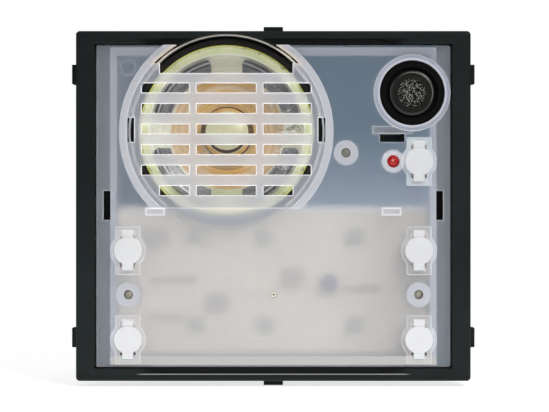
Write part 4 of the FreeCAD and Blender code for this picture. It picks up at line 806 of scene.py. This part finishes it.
# rings are (inner, outer, softness, weight); the crumpled side is given in turns about the axis
filmLook = {
    "streaks": (rgb(150, 152, 154), rgb(116, 118, 122)),
    "deck": rgb(214, 216, 208),
    "pale": rgb(206, 207, 208),
    "dark": rgb(20, 21, 23),
    "bright": rgb(250, 250, 246),
    "darkRings": [(0.01872, 0.01908, 6e-5, 1.0), (0.01768, 0.01792, 6e-5, 0.8), (0.0165, 0.0167, 6e-5, 0.35)],
    "paleRings": [(0.01815, 0.01855, 8e-5, 0.5)],
    "crumpled": (0.0135, 0.0195),
    "crumpledAt": 0.02,
    "crumpledTurn": (0.07, 0.15),
    "crumple": 190.0,
    "patches": 150.0,
    "glintFold": (0.5, 0.028),
    "darkFold": (0.58, 0.03),
    "sweep": (900.0, 3.0),
    "haze": 0.04,
    "window": 0.5,
    "streak": 0.06,
    "ring": 0.75,
    "paleShare": 0.4,
    "glint": 0.75,
}


def filmFinish():
    # clear film: a haze streaked round the axis, painted reflections on pressed rings, crumples with painted
    # glints
    shader, place = makeFinish("filmClear", IOR=1.5, **{"Specular IOR Level": 0.8})
    axisX, axisZ = axisOf("speaker_foam_ring")
    radius = distanceTo(place, axisX, axisZ)
    turn = place.math("ARCTAN2", place.axis("Z") - axisZ, place.axis("X") - axisX) / math.tau
    x, z = cover["speaker"]
    nearest = abs(place.axis("X") - x).least(abs(place.axis("Z") - z))
    fillet, inner = windows["fillet"], windows["inner"]
    shortSide = (fillet - (nearest - windows["half"])).most(0.0)
    toRim = (radius - (windows["outer"] - fillet)).most(0.0)
    window = (shortSide * shortSide + toRim * toRim).root().fade(fillet - 1e-4, fillet + 1e-4, 1.0, 0.0)
    window = window * radius.fade(inner - 1e-4, inner + 1e-4)
    outward, around = filmLook["sweep"]
    swept = place.node("CombineXYZ", None, {0: radius * outward, 1: turn * around, 2: 0.0})
    streak = swept.noise(0.5, 1.0, 0.5).fade(0.35, 0.65)
    crumple = place.noise(filmLook["crumple"], 1.0, 0.5, 1.2)
    right = abs(turn - filmLook["crumpledAt"]).fade(*filmLook["crumpledTurn"], 1.0, 0.0)
    right = right * radius.within(*filmLook["crumpled"], 0.001)
    patch = place.noise(filmLook["patches"], 1.0).fade(0.42, 0.56)
    # painted glints and dark reflections along the crumples on the right
    glint, dark = ((abs(crumple - height).fade(0.0, width, 1.0, 0.0) * right * patch).clamped()
                   for height, width in (filmLook["glintFold"], filmLook["darkFold"]))
    ring = bands(radius, filmLook["darkRings"]) * (window * 0.92 + 0.08) * (1 - right)
    ring = ring.most(dark * 0.8)
    pale = bands(radius, filmLook["paleRings"]) * window * (1 - right)
    colour = (1 - window).blend(streak.blend(*filmLook["streaks"]), filmLook["deck"])
    colour = ring.blend(pale.blend(colour, filmLook["pale"]), filmLook["dark"])
    alpha = streak * filmLook["streak"] + window * filmLook["window"] + filmLook["haze"]
    alpha = alpha + ring * filmLook["ring"] + pale * filmLook["paleShare"] + glint * filmLook["glint"]
    feed(shader, place, {"Base Color": glint.blend(colour, filmLook["bright"]),
                         "Roughness": (streak * 0.12 + 0.16).clamped(), "Alpha": alpha.clamped(),
                         "Normal": (crumple * (right * 3.0 + 0.02)).bump(0.5, 2.4e-4)})


filmFinish()

lenses = {
    "lampRed": {"colour": rgb(172, 2, 8), "glow": rgb(255, 20, 20), "strength": 0.06,
                "chip": (0.03075, 0.01175)},
    "lampWhite": {"colour": rgb(150, 170, 172), "glow": rgb(255, 250, 235), "strength": 0.01, "chip": None},
}
glintLook = {"colour": rgb(255, 176, 166), "radius": (1e-4, 4.5e-4)}


def lensFinish(name, look):
    # a glossy lens; where a glint spot is given, a painted highlight shows as a light spot on it
    shader, place = makeFinish(name, IOR=1.5, **{
        "Emission Strength": look["strength"], "Coat Weight": 0.35, "Coat Roughness": 0.1,
        "Specular IOR Level": 0.3})
    drift = place.noise(500.0, 2.0).fade(0.3, 0.7)
    colour = drift.blend(look["colour"], tuple(part * 0.9 for part in look["colour"][:3]) + (1.0,))
    if look["chip"]:
        spot = distanceTo(place, *look["chip"]).fade(*glintLook["radius"], 0.9, 0.0)
        colour = spot.blend(colour, glintLook["colour"])
    feed(shader, place, {"Base Color": colour, "Emission Color": look["glow"],
                         "Roughness": (drift * 0.08 + 0.1).clamped()})


for name, look in lenses.items():
    lensFinish(name, look)

canLook = {"foot": rgb(226, 222, 212), "sleeve": rgb(34, 50, 124), "radius": (0.00225, 0.00235),
           "grain": 1500.0}


def canFinish():
    # blue sleeve on the round can, pale plastic on its square foot
    shader, place = makeFinish("canBlue")
    can = distanceTo(place, *axisOf("storage_capacitor")).fade(*canLook["radius"], 1.0, 0.0)
    fine = place.noise(canLook["grain"], 2.0)
    feed(shader, place, {"Base Color": can.blend(canLook["foot"], canLook["sleeve"]),
                         "Roughness": (fine * 0.15 + 0.3).clamped(), "Normal": fine.bump(0.1, 2e-5)})


canFinish()

capsuleLook = {"nickel": (rgb(206, 207, 208), rgb(186, 188, 190)), "felt": rgb(12, 12, 11),
               "feltBack": (-0.02528, -0.02518), "fibre": 2600.0, "mottle": 220.0}


def capsuleFinish():
    # a nickel can with dark felt over its front
    shader, place = makeFinish("capsuleMetal")
    felt = place.axis("Y").fade(*capsuleLook["feltBack"], 1.0, 0.0)
    fibre = place.noise(capsuleLook["fibre"], 3.0, 0.7)
    nickel = place.noise(capsuleLook["mottle"], 2.0).fade(0.35, 0.68).blend(*capsuleLook["nickel"])
    feed(shader, place, {"Base Color": felt.blend(nickel, capsuleLook["felt"]), "Metallic": 1 - felt,
                         "Roughness": (felt * 0.5 + fibre * 0.2 + 0.25).clamped(),
                         "Normal": fibre.bump(0.3, 5e-5)})


capsuleFinish()

meshLook = {"dull": rgb(5, 6, 5), "bare": rgb(240, 243, 228), "speck": 3600.0, "bareFrom": (0.56, 0.6),
            "grime": 5200.0}


def meshFinish():
    # fine woven wire, dulled, with bright specks of painted glint
    shader, place = makeFinish("meshMetal", **{"Specular IOR Level": 0.2})
    speck = place.noise(meshLook["speck"], 0.5, 0.5).fade(*meshLook["bareFrom"])
    grime = place.noise(meshLook["grime"], 2.0)
    feed(shader, place, {"Base Color": speck.blend(meshLook["dull"], meshLook["bare"]),
                         "Metallic": speck * 0.3, "Roughness": (grime * 0.2 + 0.28).clamped(),
                         "Normal": grime.bump(0.3, 2e-5)})


meshFinish()

slotOf = {part["node"]: part["material_slot"] for part in frame["record"]["subparts"]}


def dress(piece, name):
    # a piece gets the finish called after its node's slot: frameBlack for frame_black
    first, *others = slotOf[name].split("_")
    piece.data.materials.clear()
    piece.data.materials.append(finishes[first + "".join(part.title() for part in others)])


for name, piece in nodes.items():
    dress(piece, name)
print("finishes on", len(nodes), "nodes")


def bodyOf(name):
    return nodes[name]["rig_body"]


def newObject(name, data):
    made = bpy.data.objects.new(name, data)
    bpy.context.scene.collection.objects.link(made)
    return made


def baked(piece):
    # the modifiers' result becomes the piece's own plain mesh
    graph = bpy.context.evaluated_depsgraph_get()
    mesh = bpy.data.meshes.new_from_object(piece.evaluated_get(graph), depsgraph=graph)
    piece.modifiers.clear()
    piece.data = mesh


micWeave = {
    "sizes": {"Reach": 0.00475, "Pitch": 0.00036, "Wave": 5.2e-5, "Wire": 6.0e-5},
    "wireSides": 5,
    "facing": (math.radians(90.0), 0.0, 0.0),
}


def weaveTree(name, sizes):
    # woven wire in a round outline: waved wires one way, and the same turned over and across
    tree = bpy.data.node_groups.new(name, "GeometryNodeTree")
    tree.interface.new_socket("Mesh", in_out="OUTPUT", socket_type="NodeSocketGeometry")
    for label, value in sizes.items():
        socket = tree.interface.new_socket(label, in_out="INPUT", socket_type="NodeSocketFloat")
        socket.default_value = value
    tree.interface.new_socket("Finish", in_out="INPUT", socket_type="NodeSocketMaterial")
    inputs = tree.nodes.new("NodeGroupInput").outputs
    given = {socket.name: Wire(tree, socket) for socket in inputs if socket.name}
    reach, pitch, wave, thick = (given[label] for label in ("Reach", "Pitch", "Wave", "Wire"))

    def make(kind, sockets=None, settings=None):
        return pitch.node(kind, settings, sockets)

    def vector(x=0.0, y=0.0, z=0.0):
        return make("CombineXYZ", {0: x, 1: y, 2: z})

    # straight wires side by side, a pitch apart, with four points to a pitch
    line = make("GeometryNodeCurvePrimitiveLine", {"Start": vector(reach * -1.0), "End": vector(reach)})
    line = make("GeometryNodeResampleCurve", {"Curve": line, "Length": pitch / 4}, {"mode": "LENGTH"})
    half = (reach / pitch).floor()
    first = vector(y=half * pitch * -1.0)
    row = make("GeometryNodeMeshLine", {"Count": half * 2 + 1, "Start Location": first,
                                        "Offset": vector(y=pitch)})
    wires = make("GeometryNodeInstanceOnPoints", {"Points": row, "Instance": line})
    wires = make("GeometryNodeRealizeInstances", {"Geometry": wires})
    # cut to the round outline, and waved
    spot = make("GeometryNodeInputPosition")
    across, along = spot.axis("X"), spot.axis("Y")
    beyond = (across * across + along * along).root() > reach
    wires = make("GeometryNodeDeleteGeometry", {"Geometry": wires, "Selection": beyond}, {"domain": "POINT"})
    lift = wave * (across * math.pi / pitch).cosine() * (along * math.pi / pitch).cosine()
    wires = make("GeometryNodeSetPosition", {"Geometry": wires, "Offset": vector(z=lift)})
    profile = make("GeometryNodeCurvePrimitiveCircle", {"Resolution": micWeave["wireSides"], "Radius": thick})
    wires = make("GeometryNodeCurveToMesh", {"Curve": wires, "Profile Curve": profile, "Fill Caps": True})
    # the same again, turned over and across
    other = make("GeometryNodeTransform", {"Geometry": wires, "Rotation": (math.pi, 0.0, math.pi / 2)})
    both = make("GeometryNodeJoinGeometry", {"Geometry": wires})
    tree.links.new(other.socket, both.socket.node.inputs["Geometry"])
    whole = make("GeometryNodeRealizeInstances", {"Geometry": both})
    whole = make("GeometryNodeSetMaterial", {"Geometry": whole, "Material": given["Finish"]})
    tree.links.new(whole.socket, tree.nodes.new("NodeGroupOutput").inputs["Mesh"])
    return tree


def weaveMesh():
    # the woven disc in front of the microphone
    low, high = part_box("mic_mesh")
    piece = newObject("mic_weave", bpy.data.meshes.new("mic_weave"))
    tree = weaveTree("micWeave", micWeave["sizes"])
    weave = piece.modifiers.new("weave", "NODES")
    weave.node_group = tree
    for socket in tree.interface.items_tree:
        if socket.in_out == "INPUT":
            weave[socket.identifier] = micWeave["sizes"].get(socket.name, finishes["meshMetal"])
    baked(piece)
    turn = Euler(micWeave["facing"]).to_matrix().to_4x4()
    piece.data.transform(Matrix.Translation((low + high) / 2) @ turn)
    piece.data.shade_smooth()
    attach(piece, bodyOf("mic_mesh"))
    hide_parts("mic_mesh")


# edges at a window's corner, up to beyond the fillet, longer than the shortest and level within a rise, are
# cut; near and touch are how closely a point has to lie on a radius and on a spoke's edge
windowCut = {"cuts": 3, "beyond": 0.001, "shortest": 3e-4, "level": 1e-4, "near": 4e-5, "touch": 1e-5}


def roundWindows(piece):
    # the windows' outer corners flare into the rim: their edges slide down the cone onto a fillet
    shell = bmesh.new()
    shell.from_mesh(piece.data)
    x, z = cover["speaker"]
    outer, inner, half, fillet = (windows[key] for key in ("outer", "inner", "half", "fillet"))
    near, touch = windowCut["near"], windowCut["touch"]

    def seen(vert):
        # across and up from the speaker's axis, distance from it, and distance past the nearest spoke's edge
        across, up = vert.co.x - x, vert.co.z - z
        return across, up, math.hypot(across, up), min(abs(across), abs(up)) - half

    def atCorner(vert):
        radius, inside = seen(vert)[2:]
        return abs(radius - outer) < near and -touch < inside < fillet + windowCut["beyond"]

    def isArc(edge):
        rise = abs(edge.verts[0].co.y - edge.verts[1].co.y)
        return (all(atCorner(vert) for vert in edge.verts) and edge.calc_length() > windowCut["shortest"]
                and rise < windowCut["level"])

    def depthsAt(reach):
        # the lowest and highest y of the window's points at this distance from the axis
        points = [(vert.co.y, *seen(vert)[2:]) for vert in shell.verts]
        ys = [y for y, radius, inside in points if abs(radius - reach) < near and inside > -touch]
        return min(ys), max(ys)

    arcs = [edge for edge in shell.edges if isArc(edge)]
    bmesh.ops.subdivide_edges(shell, edges=arcs, cuts=windowCut["cuts"])
    innerDepths, outerDepths = depthsAt(inner), depthsAt(outer)
    front, rear = ((far - close) / (outer - inner) for close, far in zip(innerDepths, outerDepths))
    moved = 0
    for vert in shell.verts:
        across, up, radius, inside = seen(vert)
        if not (outer - fillet - 1e-6 < radius < outer + near and -touch < inside < fillet):
            continue
        limit = outer - fillet + math.sqrt(max(fillet ** 2 - (fillet - max(inside, 0.0)) ** 2, 0.0))
        if radius <= limit:
            continue
        middle = sum(outerDepths) / 2 + (front + rear) / 2 * (radius - outer)
        vert.co.y += (front if vert.co.y < middle else rear) * (limit - radius)
        big = math.sqrt(limit ** 2 - min(abs(across), abs(up)) ** 2)
        if abs(across) > abs(up):
            vert.co.x = x + math.copysign(big, across)
        else:
            vert.co.z = z + math.copysign(big, up)
        moved += 1
    bmesh.ops.remove_doubles(shell, verts=shell.verts, dist=2e-6)
    bmesh.ops.dissolve_degenerate(shell, edges=shell.edges, dist=1e-7)
    print("window points slid", moved)
    shell.to_mesh(piece.data)
    shell.free()


def mergedCopy(name):
    # a copy of a node with its loose triangles joined
    made = newObject(name + "_round", nodes[name].data.copy())
    shell = bmesh.new()
    shell.from_mesh(made.data)
    bmesh.ops.remove_doubles(shell, verts=shell.verts, dist=2e-6)
    shell.to_mesh(made.data)
    shell.free()
    return made


def squared(mesh, flatness):
    # flat faces that look straight along an axis keep that one normal, so no shade creeps across them
    normals = [Vector(corner.vector) for corner in mesh.corner_normals]
    for face in mesh.polygons:
        for axis in range(3):
            if abs(face.normal[axis]) > flatness:
                straight = Vector((0.0, 0.0, 0.0))
                straight[axis] = math.copysign(1.0, face.normal[axis])
                for at in face.loop_indices:
                    normals[at] = straight
    mesh.normals_split_custom_set(normals)


def rounded(name, width, edgeFinish=None, angle=30.0, before=None, flatness=0.98):
    # a node's copy with its sharp edges rounded, in the node's place
    piece = mergedCopy(name)
    if before:
        before(piece)
    dress(piece, name)
    bevel = piece.modifiers.new("edges", "BEVEL")
    bevel.width = width
    bevel.segments = 2
    bevel.limit_method = "ANGLE"
    bevel.angle_limit = math.radians(angle)
    bevel.use_clamp_overlap = False
    bevel.loop_slide = False
    bevel.miter_outer = "MITER_ARC"
    if edgeFinish:
        piece.data.materials.append(finishes[edgeFinish])
        bevel.material = 1
    level = piece.modifiers.new("level", "WEIGHTED_NORMAL")
    level.mode = "FACE_AREA"
    level.keep_sharp = True
    piece.data.shade_smooth()
    baked(piece)
    squared(piece.data, flatness)
    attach(piece, bodyOf(name))
    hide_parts(name)


# the width of each piece's rounding, in metres
edgeWidths = {
    "front_frame": 1.3e-4, "front_cover": 9.5e-5,
    **{name: 3.5e-5 for name in nodes if name.startswith("key_")},
    "speaker_dome": 1e-4, "speaker_basket": 4e-5,
    "mic_boot": 8e-5, "status_led": 1e-4, "rear_case": 1.5e-4, "terminal_plug": 1.2e-4,
    "terminal_header": 1.5e-4, "terminal_screws": 6e-5, "link_socket_in": 1.5e-4, "link_socket_out": 1.5e-4,
    "configurator_socket": 1.5e-4, "volume_trimmer": 1.2e-4, "mic_trimmer": 1.2e-4, "volume_rotor": 8e-5,
    "mic_rotor": 8e-5, "case_screws": 6e-5, "storage_capacitor": 1e-4, "label_leds": 1.2e-4,
    "front_board_chips": 1.2e-4, "speaker_magnet": 1.8e-4, "speaker_yoke": 1.8e-4,
}
# edges that turn by more than the angle, in degrees, are rounded; a face is square to an axis
# where its normal's part along that axis is more than the flatness
edgeExtras = {
    "front_cover": {"edgeFinish": "coverEdge"},
    "speaker_dome": {"angle": 50.0, "flatness": 0.99999},
    "speaker_basket": {"angle": 35.0, "before": roundWindows},
    "mic_boot": {"angle": 35.0, "flatness": 0.9995},
    "status_led": {"angle": 45.0, "flatness": 0.99999},
}

print("rounding the visible edges")
for name, width in edgeWidths.items():
    rounded(name, width, **edgeExtras.get(name, {}))
print("weaving the microphone's mesh")
weaveMesh()

print("setting the stage")
stage = {
    "floorDrop": 0.0002,
    "floorSize": 0.17,
    "floorColour": ((0.92, 0.92, 0.92, 1.0), (0.9, 0.9, 0.9, 1.0)),
    "floorGlow": 0.72,
    "worldStrength": 0.18,
    "aim": (0.0, -0.013, 0.0),
    "lamps": {
        "key": {"place": (0.42, -0.62, 0.5), "size": 0.36, "power": 3.0},
        "fill": {"place": (-0.6, -0.6, 0.15), "size": 0.7, "power": 1.1},
        "top": {"place": (0.0, -0.15, 0.8), "size": 0.6, "power": 0.9},
    },
    "eyeDistance": 0.47,
    "frameWidth": 0.1015,
    "framePixels": 395.5,
    "imagePixels": 549.0,
    "middlePixel": 273.3,
    "sensor": 36.0,
}


def makeFloor():
    low = boxBefore[0].z - stage["floorDrop"]
    size = stage["floorSize"]
    corners = [(-size, -size, low), (size, -size, low), (size, size, low), (-size, size, low)]
    mesh = bpy.data.meshes.new("floor")
    mesh.from_pydata(corners, [], [(0, 1, 2, 3)])
    floor = newObject("floor", mesh)
    shader, place = makeFinish("paleFloor")
    speck = place.noise(30.0, 3.0).fade(0.2, 0.8)
    feed(shader, place, {"Base Color": speck.blend(*stage["floorColour"]), "Roughness": 0.7,
                         "Emission Color": (1.0, 1.0, 1.0, 1.0), "Emission Strength": stage["floorGlow"]})
    mesh.materials.append(finishes["paleFloor"])


def addLamp(name, place, size, power):
    lamp = bpy.data.lights.new(name, "AREA")
    lamp.shape = "DISK"
    lamp.size = size
    lamp.energy = power
    holder = newObject(name, lamp)
    holder.location = place
    holder.rotation_mode = "QUATERNION"
    holder.rotation_quaternion = (Vector(stage["aim"]) - Vector(place)).to_track_quat("-Z", "Y")


def makeSky():
    # white where the camera sees it, dimmer as a light
    world = bpy.data.worlds.new("studio")
    world.use_nodes = True
    back = world.node_tree.nodes["Background"]
    back.inputs["Color"].default_value = (1.0, 1.0, 1.0, 1.0)
    ray = world.node_tree.nodes.new("ShaderNodeLightPath")
    seen = Wire(world.node_tree, ray.outputs["Is Camera Ray"])
    strength = seen.fade(0.0, 1.0, stage["worldStrength"], 1.0)
    world.node_tree.links.new(strength.socket, back.inputs["Strength"])
    bpy.context.scene.world = world


def addCamera():
    # straight before the front, at the scale and place that the frame has in the picture
    eye = bpy.data.cameras.new("eye")
    eye.sensor_width = stage["sensor"]
    pixel = stage["frameWidth"] / stage["framePixels"]
    eye.lens = stage["sensor"] * stage["eyeDistance"] / (pixel * stage["imagePixels"])
    eye.clip_start = 0.01
    holder = newObject("eye", eye)
    across = (stage["imagePixels"] / 2 - stage["middlePixel"]) * pixel
    holder.location = (across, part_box("front_frame")[0].y - stage["eyeDistance"], 0.0)
    holder.rotation_euler = (math.radians(90.0), 0.0, 0.0)
    bpy.context.scene.camera = holder


makeFloor()
for name, lamp in stage["lamps"].items():
    addLamp(name, **lamp)
makeSky()
addCamera()
bpy.context.scene.view_settings.view_transform = "Standard"

print("done")
